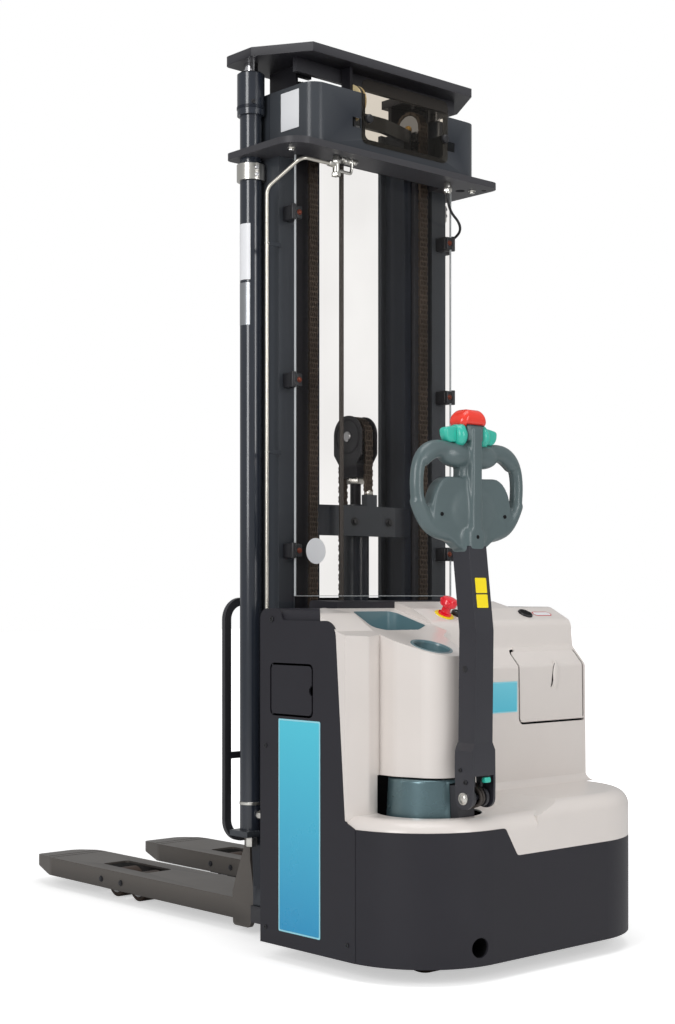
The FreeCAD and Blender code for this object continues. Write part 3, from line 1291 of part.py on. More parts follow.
def fork():
    """Left fork: inverted channel with a shank, gussets and a wheel slot."""
    half = FORK_W / 2
    tip = OVERALL_LENGTH

    def blade_plan(inset, s_tip):
        h = half - inset
        return plan([
            (FORK_HEEL, FORK_Y - h, 0),
            (FORK_HEEL, FORK_Y + h, 0),
            (tip - TIP_TAPER, FORK_Y + h, 80),
            (s_tip, FORK_Y + h - TIP_NARROW, 48),
            (s_tip, FORK_Y - h + TIP_NARROW, 48),
            (tip - TIP_TAPER, FORK_Y - h, 80),
        ])

    profile = side_prism([
        (FORK_HEEL, FORK_BOTTOM, 0),
        (tip - TIP_TAPER + 10, FORK_BOTTOM, 40),
        (tip, FORK_BOTTOM + 23, 4),
        (tip, FORK_TOP - 7, 6),
        (tip - TIP_TAPER + 30, FORK_TOP, 60),
        (FORK_HEEL, FORK_TOP, 0),
    ], FORK_Y - half, FORK_Y + half)
    blade = prism(blade_plan(0, tip), FORK_BOTTOM, FORK_TOP).common(profile)
    blade = blade.cut(prism(blade_plan(FORK_PLATE_T, tip - TIP_SOLID), 0, FORK_TOP - FORK_PLATE_T))
    slot_half = LOAD_WHEEL_W / 2 + 8
    slot = prism(plan([
        (WHEEL_SLOT[0], FORK_Y - slot_half, 10), (WHEEL_SLOT[0], FORK_Y + slot_half, 10),
        (WHEEL_SLOT[1], FORK_Y + slot_half, 10), (WHEEL_SLOT[1], FORK_Y - slot_half, 10),
    ]), 0, FORK_TOP + 5)
    blade = blade.cut(slot.common(box(0, OVERALL_LENGTH, 0, HALF_W, FORK_TOP - 20, FORK_TOP + 5)))
    shank = side_prism([
        (FORK_HEEL, FORK_TOP - FORK_PLATE_T, 0),
        (FORK_HEEL + 35, FORK_TOP - FORK_PLATE_T, 0),
        (FORK_HEEL + 35, 104, 0),
        (CARRIAGE_FRONT, 224, 0),
        (CARRIAGE_FRONT, SHANK_TOP, 0),
        (SHANK_REAR, SHANK_TOP, 0),
        (SHANK_REAR, 205, 0),
        (FORK_HEEL, 118, 0),
    ], FORK_Y - half, FORK_Y + half)
    shapes = [blade, shank]
    for y0 in (FORK_Y - half, FORK_Y + half - 12):
        shapes.append(side_prism([
            (MAST_REAR + CHANNEL_D + RUN_GAP + 2, 48, 18),
            (SHANK_REAR + 3, 18, 12),
            (FORK_HEEL + 33, 18, 10),
            (FORK_HEEL + 35, 104, 0),
            (CARRIAGE_FRONT, 224, 0),
            (CARRIAGE_FRONT, SHANK_TOP, 0),
            (SHANK_REAR, SHANK_TOP, 0),
            (SHANK_REAR, 190, 0),
            (MAST_REAR + CHANNEL_D + RUN_GAP + 2, 120, 0),
        ], y0, y0 + 12))
    return fuse(shapes)


BACKREST_HALF_W = 348.0
BACKREST_LOW = 236.0
BACKREST_TOP = 846.0
BAR_W = 20.0
BAR_T = 12.0


def load_backrest():
    """Bent flat-bar frame with a rung and two uprights."""
    y = BACKREST_HALF_W
    s0 = CARRIAGE_FRONT
    s1 = s0 + BAR_T
    outer = rear_prism([(-y, BACKREST_LOW, 55), (y, BACKREST_LOW, 55), (y, BACKREST_TOP, 55),
                        (-y, BACKREST_TOP, 55)], s0, s1)
    w = BAR_W
    inner = rear_prism([(-y + w, BACKREST_LOW + w, 35), (y - w, BACKREST_LOW + w, 35),
                        (y - w, BACKREST_TOP - w, 35), (-y + w, BACKREST_TOP - w, 35)], s0 - 1, s1 + 1)
    shapes = [outer.cut(inner), box(s0, s1, -y + 2, y - 2, 444, 460)]
    upright = box(s0, s1, 110, 126, BACKREST_LOW + 2, BACKREST_TOP - 2)
    return fuse(shapes + both_sides(upright))


def main():
    save("chassis_frame", chassis_frame())
    save("battery", battery())
    save("skirt", skirt())
    save("side_panel_left", side_panel(True))
    save("side_panel_right", side_panel(False))
    save("hatch_lid", hatch_lid())
    save("cover", cover())
    save("rear_lid", rear_lid())
    save("top_strip", top_strip())
    save("tray_inserts", tray_inserts())
    save("emergency_stop", emergency_stop())
    save("key_switch", key_switch())
    save("drive_unit", drive_unit())
    save("drive_wheel", drive_wheel())
    save("steer_cap", steer_cap())
    save("tiller_base", tiller_base())
    save("tiller_arm", tiller_arm())
    save("tiller_head", tiller_head())
    save("tiller_controls", tiller_controls())
    save("castor_fork", castor_fork())
    save("castor_wheels", castor_wheels())
    leg = support_leg()
    save("support_leg_left", leg)
    save("support_leg_right", mirror_y(leg))
    for s, row in zip(LOAD_WHEELS, ("rear", "front")):
        for side, name in ((1, "left"), (-1, "right")):
            save("load_wheel_" + name + "_" + row, load_wheel(s, side))
    save("outer_mast", outer_mast())
    save("mast_head_plate", mast_head_plate())
    save("mast_head_guard", mast_head_guard())
    save("guard_window", guard_window())
    save("mast_shield", mast_shield())
    save("shield_clamps", shield_clamps())
    save("lift_cylinders", both_sides(lift_cylinder()))
    save("cylinder_clamps", cylinder_clamps())
    save("hydraulic_pipe", hydraulic_pipe())
    save("limit_switch", limit_switch())
    save("intermediate_mast", intermediate_mast())
    save("side_sheaves", side_sheaves())
    save("hose_pulley", hose_pulley())
    save("mast_hose", mast_hose())
    save("cylinder_rods", cylinder_rods())
    save("side_chains_rear", side_chains_rear())
    save("side_chains_front", side_chains_front())
    save("inner_mast", inner_mast())
    save("free_lift_cylinder", free_lift_cylinder())
    save("free_lift_head", free_lift_head())
    save("free_lift_sheave", free_lift_sheave())
    save("free_lift_chain_rear", free_lift_chain_rear())
    save("free_lift_chain_front", free_lift_chain_front())
    save("carriage", carriage())
    left_fork = fork()
    save("fork_left", left_fork)
    save("fork_right", mirror_y(left_fork))
    save("load_backrest", load_backrest())


main()
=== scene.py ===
import json
import math

import bmesh
import bpy
from mathutils import Matrix, Vector


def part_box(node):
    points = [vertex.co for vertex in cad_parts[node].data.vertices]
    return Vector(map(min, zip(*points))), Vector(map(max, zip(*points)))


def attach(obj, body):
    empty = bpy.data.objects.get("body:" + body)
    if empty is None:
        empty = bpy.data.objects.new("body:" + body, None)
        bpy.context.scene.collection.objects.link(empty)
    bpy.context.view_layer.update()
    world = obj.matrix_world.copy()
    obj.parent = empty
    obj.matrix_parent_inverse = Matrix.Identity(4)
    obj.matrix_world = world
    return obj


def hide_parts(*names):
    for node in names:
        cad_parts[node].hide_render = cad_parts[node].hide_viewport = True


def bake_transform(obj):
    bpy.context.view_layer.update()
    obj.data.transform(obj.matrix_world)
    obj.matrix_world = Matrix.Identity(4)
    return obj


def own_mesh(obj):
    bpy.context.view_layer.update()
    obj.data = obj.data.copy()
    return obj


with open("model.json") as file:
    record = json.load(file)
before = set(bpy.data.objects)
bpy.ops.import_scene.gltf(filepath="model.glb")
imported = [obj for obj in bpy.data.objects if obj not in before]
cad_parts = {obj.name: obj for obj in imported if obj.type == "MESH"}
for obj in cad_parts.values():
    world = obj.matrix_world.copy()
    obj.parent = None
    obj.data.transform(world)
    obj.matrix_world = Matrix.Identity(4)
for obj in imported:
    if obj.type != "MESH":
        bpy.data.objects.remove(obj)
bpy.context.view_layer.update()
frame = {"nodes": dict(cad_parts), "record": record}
nodes = frame["nodes"]
scene = bpy.context.scene
PI = math.pi


# ------------------------------------------------------------------ helpers
def srgb(r, g, b):
    """Linear colour from 0-255 screen values."""
    out = []
    for c in (r, g, b):
        c /= 255.0
        out.append(c / 12.92 if c <= 0.04045 else ((c + 0.055) / 1.055) ** 2.4)
    return (*out, 1.0)


def add(tree, kind, inputs=None, **settings):
    """New shader node with its sockets and settings filled in."""
    node = tree.nodes.new(kind)
    for setting, value in settings.items():
        setattr(node, setting, value)
    for socket, value in (inputs or {}).items():
        node.inputs[socket].default_value = value
    return node


def noise(tree, place, scale, detail=2.0):
    """Cloudy noise over a place in space."""
    node = add(tree, "ShaderNodeTexNoise", {"Scale": scale, "Detail": detail})
    tree.links.new(place, node.inputs["Vector"])
    return node.outputs["Fac"]


def ramp(tree, factor, low, high, start=0.0, end=1.0):
    """Colour that runs from low to high with a factor."""
    node = add(tree, "ShaderNodeValToRGB")
    first, last = node.color_ramp.elements
    first.color, first.position = low, start
    last.color, last.position = high, end
    tree.links.new(factor, node.inputs["Fac"])
    return node.outputs["Color"]


def multiply(tree, source, factor, plus=None):
    """A source times a number, with another number added if one is given."""
    numbers = {1: factor} if plus is None else {1: factor, 2: plus}
    node = add(tree, "ShaderNodeMath", numbers, operation="MULTIPLY" if plus is None else "MULTIPLY_ADD")
    tree.links.new(source, node.inputs[0])
    return node.outputs[0]


BLACK, WHITE = (0, 0, 0, 1), (1, 1, 1, 1)
MOTTLE_SCALE = 7.0          # size of the soft unevenness of a finish
GRAIN_DEPTH = 0.0004        # depth of the fine grain of a moulding


def material(name, colour, rough=0.5, metal=0.0, bump=0.0, grain=900.0, vary=0.08, spec=0.5,
             coat=0.0, wear=0.0, wear_colour=WHITE, brushed=False, soften=0.0012):
    """Painted, moulded or metal surface with mottling, grain, softened edges and optional edge wear."""
    mat = bpy.data.materials.new(name)
    mat.use_nodes = True
    tree = mat.node_tree
    ln = tree.links
    bsdf = tree.nodes["Principled BSDF"]
    place = add(tree, "ShaderNodeTexCoord").outputs["Object"]
    mottle = noise(tree, place, MOTTLE_SCALE, 5.0)
    low = [c * (1 - vary) for c in colour[:3]] + [1]
    high = [min(1, c * (1 + vary)) for c in colour[:3]] + [1]
    shade = ramp(tree, mottle, low, high, 0.3, 0.7)
    if wear > 0:
        edges = add(tree, "ShaderNodeNewGeometry").outputs["Pointiness"]
        worn = multiply(tree, ramp(tree, edges, BLACK, WHITE, 0.53, 0.60), wear)
        mix = add(tree, "ShaderNodeMix", data_type="RGBA")
        mix.inputs[7].default_value = wear_colour
        ln.new(worn, mix.inputs["Factor"])
        ln.new(shade, mix.inputs[6])
        shade = mix.outputs[2]
    ln.new(shade, bsdf.inputs["Base Color"])
    unevenness = mottle
    if brushed:
        stretch = add(tree, "ShaderNodeMapping", {"Scale": (60.0, 60.0, 1.2)})
        ln.new(place, stretch.inputs["Vector"])
        unevenness = noise(tree, stretch.outputs[0], 12.0)
    rough_map = add(tree, "ShaderNodeMapRange",
                    {"To Min": max(0.03, rough * 0.85), "To Max": min(1.0, rough * 1.15)})
    ln.new(unevenness, rough_map.inputs["Value"])
    ln.new(rough_map.outputs[0], bsdf.inputs["Roughness"])
    rounded = add(tree, "ShaderNodeBevel", {"Radius": soften}, samples=4)
    ln.new(rounded.outputs[0], bsdf.inputs["Normal"])
    if bump > 0:
        grained = add(tree, "ShaderNodeBump", {"Strength": bump, "Distance": GRAIN_DEPTH})
        ln.new(noise(tree, place, grain, 3.0), grained.inputs["Height"])
        ln.new(rounded.outputs[0], grained.inputs["Normal"])
        ln.new(grained.outputs[0], bsdf.inputs["Normal"])
    bsdf.inputs["Metallic"].default_value = metal
    bsdf.inputs["Specular IOR Level"].default_value = spec
    bsdf.inputs["Coat Weight"].default_value = coat
    bsdf.inputs["Coat Roughness"].default_value = 0.12
    return mat


def clear_sheet(name, tint, strength):
    """Thin clear plastic: mostly see-through, with a faint tint and a reflection on its near face."""
    mat = bpy.data.materials.new(name)
    mat.use_nodes = True
    tree = mat.node_tree
    ln = tree.links
    for old in list(tree.nodes):
        tree.nodes.remove(old)
    out = add(tree, "ShaderNodeOutputMaterial")
    through = add(tree, "ShaderNodeBsdfTransparent")
    gloss = add(tree, "ShaderNodeBsdfPrincipled", {"Roughness": 0.05, "Metallic": 1.0})
    place = add(tree, "ShaderNodeTexCoord").outputs["Object"]
    low = [c * 0.93 for c in tint[:3]] + [1]
    high = [min(1, c * 1.05) for c in tint[:3]] + [1]
    shade = ramp(tree, noise(tree, place, 3.0, 6.0), low, high)
    ln.new(shade, through.inputs["Color"])
    ln.new(shade, gloss.inputs["Base Color"])
    fresnel = add(tree, "ShaderNodeFresnel", {"IOR": 1.45})
    amount = multiply(tree, fresnel.outputs[0], 0.35, strength)
    near_face = multiply(tree, add(tree, "ShaderNodeNewGeometry").outputs["Backfacing"], -1.0, 1.0)
    shine = add(tree, "ShaderNodeMath", operation="MULTIPLY")
    ln.new(amount, shine.inputs[0])
    ln.new(near_face, shine.inputs[1])
    mix = add(tree, "ShaderNodeMixShader")
    ln.new(shine.outputs[0], mix.inputs[0])
    ln.new(through.outputs[0], mix.inputs[1])
    ln.new(gloss.outputs[0], mix.inputs[2])
    ln.new(mix.outputs[0], out.inputs["Surface"])
    return mat


def gradient_sticker(name, top, bottom, z0, z1):
    """Printed label whose colour runs from bottom to top."""
    mat = material(name, bottom, 0.28, vary=0.02, bump=0.02, coat=0.3)
    tree = mat.node_tree
    split = add(tree, "ShaderNodeSeparateXYZ")
    tree.links.new(tree.nodes["Texture Coordinate"].outputs["Object"], split.inputs[0])
    span = add(tree, "ShaderNodeMapRange", {"From Min": z0, "From Max": z1})
    tree.links.new(split.outputs["Z"], span.inputs["Value"])
    shade = ramp(tree, span.outputs[0], bottom, top)
    tree.links.new(shade, tree.nodes["Principled BSDF"].inputs["Base Color"])
    return mat


# ------------------------------------------------------------------ materials
M = {
    "cover": material("cover_moulding", srgb(222, 215, 210), 0.34, bump=0.04, grain=1400, vary=0.015,
                      coat=0.45),
    "panel": material("black_moulding", srgb(39, 38, 44), 0.48, spec=0.3, bump=0.30, grain=1100, vary=0.06),
    "black": material("black_plastic", srgb(26, 26, 30), 0.45, bump=0.15, grain=1200, vary=0.08),
    "dark": material("black_paint", srgb(30, 30, 34), 0.3, vary=0.10, spec=0.25,
                     wear=0.3, wear_colour=(0.12, 0.12, 0.13, 1)),
    "mast": material("mast_paint", srgb(32, 36, 44), 0.22, vary=0.10, spec=0.25,
                     wear=0.3, wear_colour=(0.14, 0.15, 0.16, 1)),
    "plate": material("plate_paint", srgb(30, 29, 34), 0.40, vary=0.10, spec=0.25,
                      wear=0.3, wear_colour=(0.14, 0.14, 0.15, 1)),
    "fork": material("fork_paint", srgb(37, 35, 36), 0.36, bump=0.12, grain=500, vary=0.18, spec=0.25,
                     wear=0.5, wear_colour=(0.20, 0.18, 0.16, 1)),
    "steel": material("bright_steel", srgb(196, 196, 198), 0.28, metal=1.0, vary=0.06, soften=0.0006),
    "zinc": material("zinc_plate", srgb(214, 212, 206), 0.28, metal=1.0, bump=0.03, grain=300, vary=0.08,
                     soften=0.0006),
    "pipe": material("pipe_steel", srgb(204, 200, 190), 0.30, metal=0.9, vary=0.05, soften=0.0004),
    "chrome": material("hard_chrome", srgb(225, 225, 228), 0.10, metal=1.0, vary=0.03, brushed=True),
    "chain": material("chain_steel", srgb(104, 92, 82), 0.34, metal=0.85, bump=0.1, grain=300, vary=0.3,
                      soften=0.0003),
    "tread": material("wheel_tread", srgb(60, 44, 34), 0.55, bump=0.2, grain=300, vary=0.2),
    "slate": material("slate_moulding", srgb(98, 130, 138), 0.30, bump=0.05, grain=1200, vary=0.04, coat=0.4),
    "grip": material("grip_moulding", srgb(84, 99, 101), 0.33, bump=0.22, grain=1500, vary=0.04, coat=0.12),
    "arm": material("arm_paint", srgb(42, 42, 49), 0.30, bump=0.10, grain=800, vary=0.06, coat=0.25),
    "drum": material("drum_paint", srgb(96, 120, 126), 0.27, metal=0.55, bump=0.02, vary=0.05, coat=0.2),
    "tube": material("cylinder_paint", srgb(38, 43, 52), 0.20, vary=0.06, spec=0.55, coat=0.3),
    "teal": material("teal_moulding", srgb(52, 186, 165), 0.30, bump=0.04, vary=0.04, coat=0.3),
    "red": material("red_moulding", srgb(240, 58, 40), 0.26, bump=0.03, vary=0.05, coat=0.4),
    "stop": material("stop_moulding", srgb(236, 24, 44), 0.24, bump=0.02, vary=0.05, coat=0.4),
    "yellow": material("yellow_label", srgb(252, 226, 14), 0.35, bump=0.02, vary=0.03),
    "white": material("white_label", srgb(232, 233, 236), 0.35, bump=0.02, vary=0.02),
    "metal_label": material("metal_label", srgb(165, 168, 172), 0.32, metal=0.8, vary=0.08, brushed=True),
    "nylon": material("nylon", srgb(226, 206, 160), 0.38, bump=0.05, vary=0.05),
    "hose": material("hose_rubber", srgb(58, 52, 48), 0.45, bump=0.3, grain=700, vary=0.15),
    "motor": material("motor_housing", srgb(92, 96, 100), 0.45, metal=0.5, bump=0.15, grain=300, vary=0.12),
    "case": material("battery_case", srgb(40, 40, 44), 0.6, bump=0.25, vary=0.1),
    # near-black paint that stands in for the shade inside screw holes, slots, grooves and the charging socket
    # (painted shade); it also gives the gauge its dark face
    "hole_shade_and_dial": material("painted_hole_shade_and_dial", srgb(14, 14, 16), 0.8, bump=0.05, vary=0.1, spec=0.2),
    # pale paint for the edges of the clear sheets: a painted highlight where their edges catch the light
    "sheet_edge_highlight": material("painted_sheet_edge_highlight", srgb(186, 190, 192), 0.2, vary=0.05, coat=0.3),
    "copper": material("copper_bolt", srgb(120, 66, 52), 0.35, metal=0.8, bump=0.1, vary=0.15),
    "brass": material("brass_hub", srgb(190, 152, 84), 0.3, metal=0.9, bump=0.1, vary=0.12),
    "rim_red": material("label_rim", srgb(206, 60, 66), 0.35, bump=0.02, vary=0.03),
    "sticker_edge": material("sticker_border", srgb(150, 218, 232), 0.3, bump=0.02, vary=0.03, coat=0.3),
    "sticker": gradient_sticker("sticker_blue", srgb(80, 200, 222), srgb(0, 146, 196), 0.077, 0.56),
    "sticker_small": gradient_sticker("sticker_light_blue", srgb(112, 206, 226), srgb(88, 196, 220),
                                      0.567, 0.637),
    "shield": clear_sheet("mast_sheet", (0.955, 0.945, 0.935, 1), 0.0),
    "window": clear_sheet("head_window", (0.83, 0.79, 0.73, 1), 0.01),
}

FINISH = {
    "cover": "cover", "rear_lid": "cover", "side_panel_left": "panel", "side_panel_right": "panel",
    "hatch_lid": "panel", "skirt": "panel", "top_strip": "panel", "tray_inserts": "slate",
    "emergency_stop": "stop", "key_switch": "slate", "chassis_frame": "dark", "battery": "case",
    "drive_unit": "motor", "drive_wheel": "tread", "steer_cap": "drum", "tiller_base": "dark",
    "tiller_arm": "arm", "tiller_head": "grip", "tiller_controls": "red", "castor_fork": "zinc",
    "castor_wheels": "tread", "support_leg_left": "dark", "support_leg_right": "dark",
    "outer_mast": "mast", "mast_head_plate": "plate", "mast_head_guard": "mast", "guard_window": "window",
    "mast_shield": "shield", "shield_clamps": "black", "lift_cylinders": "tube", "cylinder_clamps": "zinc",
    "hydraulic_pipe": "pipe", "limit_switch": "black", "intermediate_mast": "plate", "side_sheaves": "steel",
    "hose_pulley": "nylon", "mast_hose": "hose", "cylinder_rods": "chrome", "side_chains_rear": "chain",
    "side_chains_front": "chain", "inner_mast": "mast", "free_lift_cylinder": "mast",
    "free_lift_head": "plate", "free_lift_sheave": "steel", "free_lift_chain_rear": "chain",
    "free_lift_chain_front": "chain", "carriage": "mast", "fork_left": "fork", "fork_right": "fork",
    "load_backrest": "dark",
}
for name, node in nodes.items():
    key = FINISH.get(name, "tread" if "wheel" in name else "dark")
    for slot in node.material_slots:
        slot.material = M[key]


# ------------------------------------------------------------------ camera, light, floor
FOCAL = 57.8671875          # focal length, mm, for a picture 36 mm tall
HORIZON_SHIFT = 0.08203125  # how far the horizon lies below the middle, as a share of the height
FILM = 36.0                 # height of the picture plane, mm
CAMERA_PLACE = (-3.356, 2.887, 0.85)
CAMERA_LOOK = (0.742, -0.6704, 0.0)

cam_data = bpy.data.cameras.new("camera")
cam_data.sensor_fit = "VERTICAL"
cam_data.sensor_height = FILM
cam_data.sensor_width = FILM
cam_data.lens = FOCAL
cam_data.shift_y = HORIZON_SHIFT
cam_data.clip_end = 60.0
camera = bpy.data.objects.new("camera", cam_data)
camera.location = CAMERA_PLACE
camera.rotation_mode = "QUATERNION"
camera.rotation_quaternion = Vector(CAMERA_LOOK).to_track_quat("-Z", "Y")
scene.collection.objects.link(camera)
scene.camera = camera

SEEN_WHITE = 1.0            # how bright the backdrop looks to the camera and through clear sheet
SKY_LIGHT = 0.42            # how much light the backdrop gives

world = bpy.data.worlds.new("world")
world.use_nodes = True
sky = world.node_tree
backdrop = sky.nodes["Background"]
backdrop.inputs["Color"].default_value = WHITE
rays = add(sky, "ShaderNodeLightPath")
seen = add(sky, "ShaderNodeMath", operation="ADD", use_clamp=True)
sky.links.new(rays.outputs["Is Camera Ray"], seen.inputs[0])
sky.links.new(rays.outputs["Is Transmission Ray"], seen.inputs[1])
strength = add(sky, "ShaderNodeMapRange", {"To Min": SKY_LIGHT, "To Max": SEEN_WHITE})
sky.links.new(seen.outputs[0], strength.inputs["Value"])
sky.links.new(strength.outputs[0], backdrop.inputs["Strength"])
scene.world = world
scene.view_settings.view_transform = "Standard"


def area_light(name, place, target, size, power):
    """Soft lamp that looks at a target."""
    data = bpy.data.lights.new(name, "AREA")
    data.shape = "RECTANGLE"
    data.size, data.size_y = size
    data.energy = power
    lamp = bpy.data.objects.new(name, data)
    lamp.location = place
    lamp.rotation_mode = "QUATERNION"
    lamp.rotation_quaternion = (Vector(target) - Vector(place)).to_track_quat("-Z", "Y")
    scene.collection.objects.link(lamp)


area_light("key", (-1.6, 4.4, 2.4), (-0.2, 0.0, 1.0), (1.4, 2.6), 84)
area_light("rear", (-4.6, -0.4, 2.0), (-0.4, 0.0, 0.9), (1.2, 2.4), 46)
area_light("top", (-1.0, 0.4, 4.4), (-0.2, 0.0, 0.6), (2.4, 2.4), 45)

FLOOR_NEAR, FLOOR_FAR = 0.9, 3.2    # where the floor starts and ends its fade into the backdrop
FLOOR_GLOW = 0.5            # how much the floor glows to the camera near the object

bpy.ops.mesh.primitive_plane_add(size=60, location=(0, 0, 0))
floor = bpy.context.object
floor.name = "floor"
floor_paint = material("studio_floor", (0.90, 0.90, 0.90, 1), 0.8, vary=0.005, spec=0.1)
floor_tree = floor_paint.node_tree
glow = floor_tree.nodes["Principled BSDF"]
glow.inputs["Emission Color"].default_value = WHITE
reach = add(floor_tree, "ShaderNodeVectorMath", operation="LENGTH")
floor_tree.links.new(add(floor_tree, "ShaderNodeTexCoord").outputs["Object"], reach.inputs[0])
fade = add(floor_tree, "ShaderNodeMapRange",
           {"From Min": FLOOR_NEAR, "From Max": FLOOR_FAR, "To Min": FLOOR_GLOW, "To Max": 1.0},
           interpolation_type="SMOOTHSTEP")
floor_tree.links.new(reach.outputs["Value"], fade.inputs["Value"])
floor_glow = add(floor_tree, "ShaderNodeMath", operation="MULTIPLY")
floor_tree.links.new(add(floor_tree, "ShaderNodeLightPath").outputs["Is Camera Ray"], floor_glow.inputs[0])
floor_tree.links.new(fade.outputs[0], floor_glow.inputs[1])
floor_tree.links.new(floor_glow.outputs[0], glow.inputs["Emission Strength"])
floor.data.materials.append(floor_paint)

# ------------------------------------------------------------------ shapes
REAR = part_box("skirt")[0][0]            # rearmost face of the truck


def at(d, y, z):
    """Point a distance ahead of the truck's rearmost face."""
    return Vector((REAR + d, y, z))


def turned(axis):
    """Turn that lays the Z axis along another direction."""
    return Vector(axis).to_track_quat("Z", "Y").to_matrix().to_4x4()


def round_edges(bm, edges, offset, segments=2):
    """Bevel some edges of a shape."""
    bmesh.ops.bevel(bm, geom=list(edges), offset=offset, segments=segments, profile=0.5,
                    affect="EDGES", material=-1, clamp_overlap=True)


def block(low, high, edge=0.001, segments=2):
    """Box between two corners with rounded edges."""
    low, high = Vector(low), Vector(high)
    bm = bmesh.new()
    bmesh.ops.create_cube(bm, size=1.0)
    bmesh.ops.scale(bm, vec=high - low, verts=bm.verts)
    bmesh.ops.translate(bm, vec=(low + high) / 2, verts=bm.verts)
    if edge:
        round_edges(bm, bm.edges, edge, segments)
    return bm


def rod(start, end, radius, end_radius=None, edge=0.0006, sides=32):
    """Round bar between two points with rounded rims; six sides make a hexagon head."""
    start, end = Vector(start), Vector(end)
    bm = bmesh.new()
    place = Matrix.Translation((start + end) / 2) @ turned(end - start)
    bmesh.ops.create_cone(bm, cap_ends=True, segments=sides, radius1=radius,
                          radius2=radius if end_radius is None else end_radius,
                          depth=(end - start).length, matrix=place)
    if edge:
        rims = [e for e in bm.edges if any(len(f.verts) > 4 for f in e.link_faces)]
        round_edges(bm, rims, edge)
    return bm


def lathe(profile, place, axis, steps=40):
    """Turned shape from points of radius and height about an axis."""
    bm = bmesh.new()
    verts = [bm.verts.new((radius, 0, height)) for radius, height in profile]
    edges = [bm.edges.new(pair) for pair in zip(verts, verts[1:])]
    bmesh.ops.spin(bm, geom=verts + edges, cent=(0, 0, 0), axis=(0, 0, 1), angle=2 * PI,
                   steps=steps, use_merge=True)
    bmesh.ops.remove_doubles(bm, verts=bm.verts, dist=1e-6)
    bm.transform(Matrix.Translation(place) @ turned(axis))
    bmesh.ops.recalc_face_normals(bm, faces=bm.faces)
    return bm


def ring(place, axis, radius, thick, steps=40, sides=10):
    """Round wire ring."""
    bm = bmesh.new()
    bmesh.ops.create_circle(bm, segments=sides, radius=thick)
    bm.transform(Matrix.Translation((radius, 0, 0)) @ Matrix.Rotation(PI / 2, 4, "X"))
    bmesh.ops.spin(bm, geom=list(bm.verts) + list(bm.edges), cent=(0, 0, 0), axis=(0, 0, 1),
                   angle=2 * PI, steps=steps, use_merge=True)
    bmesh.ops.remove_doubles(bm, verts=bm.verts, dist=1e-6)
    bm.transform(Matrix.Translation(place) @ turned(axis))
    bmesh.ops.recalc_face_normals(bm, faces=bm.faces)
    return bm


def outline_face(corners, corner, segments):
    """Flat face from its corners, with the corners rounded."""
    bm = bmesh.new()
    bm.faces.new([bm.verts.new(c) for c in corners])
    if corner:
        bmesh.ops.bevel(bm, geom=list(bm.verts), offset=corner, segments=segments, profile=0.5,
                        affect="VERTICES", material=-1, clamp_overlap=True)
    return bm


def thicken(bm, thickness):
    """Push flat faces out along a vector and close them."""
    made = bmesh.ops.extrude_face_region(bm, geom=list(bm.faces))
    lifted = [v for v in made["geom"] if isinstance(v, bmesh.types.BMVert)]
    bmesh.ops.translate(bm, vec=thickness, verts=lifted)
    bmesh.ops.recalc_face_normals(bm, faces=bm.faces)


def plate(corners, thickness, corner=0.0, edge=0.0, segments=6):
    """Flat plate from its corners, pushed out along a vector."""
    bm = outline_face(corners, corner, segments)
    thicken(bm, thickness)
    if edge:
        rims = [e for e in bm.edges if any(len(f.verts) > 4 or not corner for f in e.link_faces)]
        round_edges(bm, rims, edge)
    return bm


def border(corners, width, thickness, corner=0.0):
    """Flat frame that follows an outline."""
    bm = outline_face(corners, corner, 6)
    middle = list(bm.faces)
    bmesh.ops.inset_region(bm, faces=middle, thickness=width, use_even_offset=True)
    bmesh.ops.delete(bm, geom=middle, context="FACES")
    thicken(bm, thickness)
    return bm


def ball(place, size, divisions=3):
    """Rounded lump; size is its half-lengths along X, Y and Z."""
    bm = bmesh.new()
    bmesh.ops.create_icosphere(bm, subdivisions=divisions, radius=1.0)
    bmesh.ops.scale(bm, vec=size, verts=bm.verts)
    bmesh.ops.translate(bm, vec=place, verts=bm.verts)
    return bm


def cable(route, radius, sides=3):
    """Bent pipe or cable along a smooth line through its control points."""
    curve = bpy.data.curves.new("route", "CURVE")
    curve.dimensions = "3D"
    curve.bevel_depth = radius
    curve.bevel_resolution = sides
    curve.use_fill_caps = True
    curve.resolution_u = 8
    line = curve.splines.new("NURBS")
    line.points.add(len(route) - 1)
    for point, place in zip(line.points, route):
        point.co = (*place, 1.0)
    line.order_u = 3
    line.use_endpoint_u = True
    holder = bpy.data.objects.new("route", curve)
    mesh = bpy.data.meshes.new_from_object(holder)
    bm = bmesh.new()
    bm.from_mesh(mesh)
    bmesh.ops.recalc_face_normals(bm, faces=bm.faces)
    bpy.data.objects.remove(holder)
    bpy.data.curves.remove(curve)
    bpy.data.meshes.remove(mesh)
    return bm


def hex_bolt(place, axis, width=0.013, height=0.006, finish="zinc"):
    """Hexagon head on its washer, seated on a face."""
    place, axis = Vector(place), Vector(axis).normalized()
    washer = rod(place - axis * 0.0004, place + axis * 0.0014, width * 0.78, edge=0.0003, sides=24)
    nut = rod(place + axis * 0.0012, place + axis * (height + 0.001), width * 0.577, edge=0.0006, sides=6)
    return [(washer, finish), (nut, finish)]


def socket_screw(place, axis, radius=0.005, height=0.004, finish="black"):
    """Round screw head with a sunk round middle."""
    place, axis = Vector(place), Vector(axis).normalized()
    r, h = radius, height
    head = lathe([(0, h * 0.35), (r * 0.5, h * 0.35), (r * 0.55, h), (r * 0.85, h), (r, h * 0.8),
                  (r, -0.0004), (0, -0.0004)], place, axis, steps=20)
    return [(head, finish)]


def upright(foot, low, high, radius, finish="zinc", sides=6, edge=0.001):
    """Upright bar or hexagon nut between two heights above a point."""
    up = Vector((0, 0, 1))
    return rod(foot + up * low, foot + up * high, radius, edge=edge, sides=sides), finish


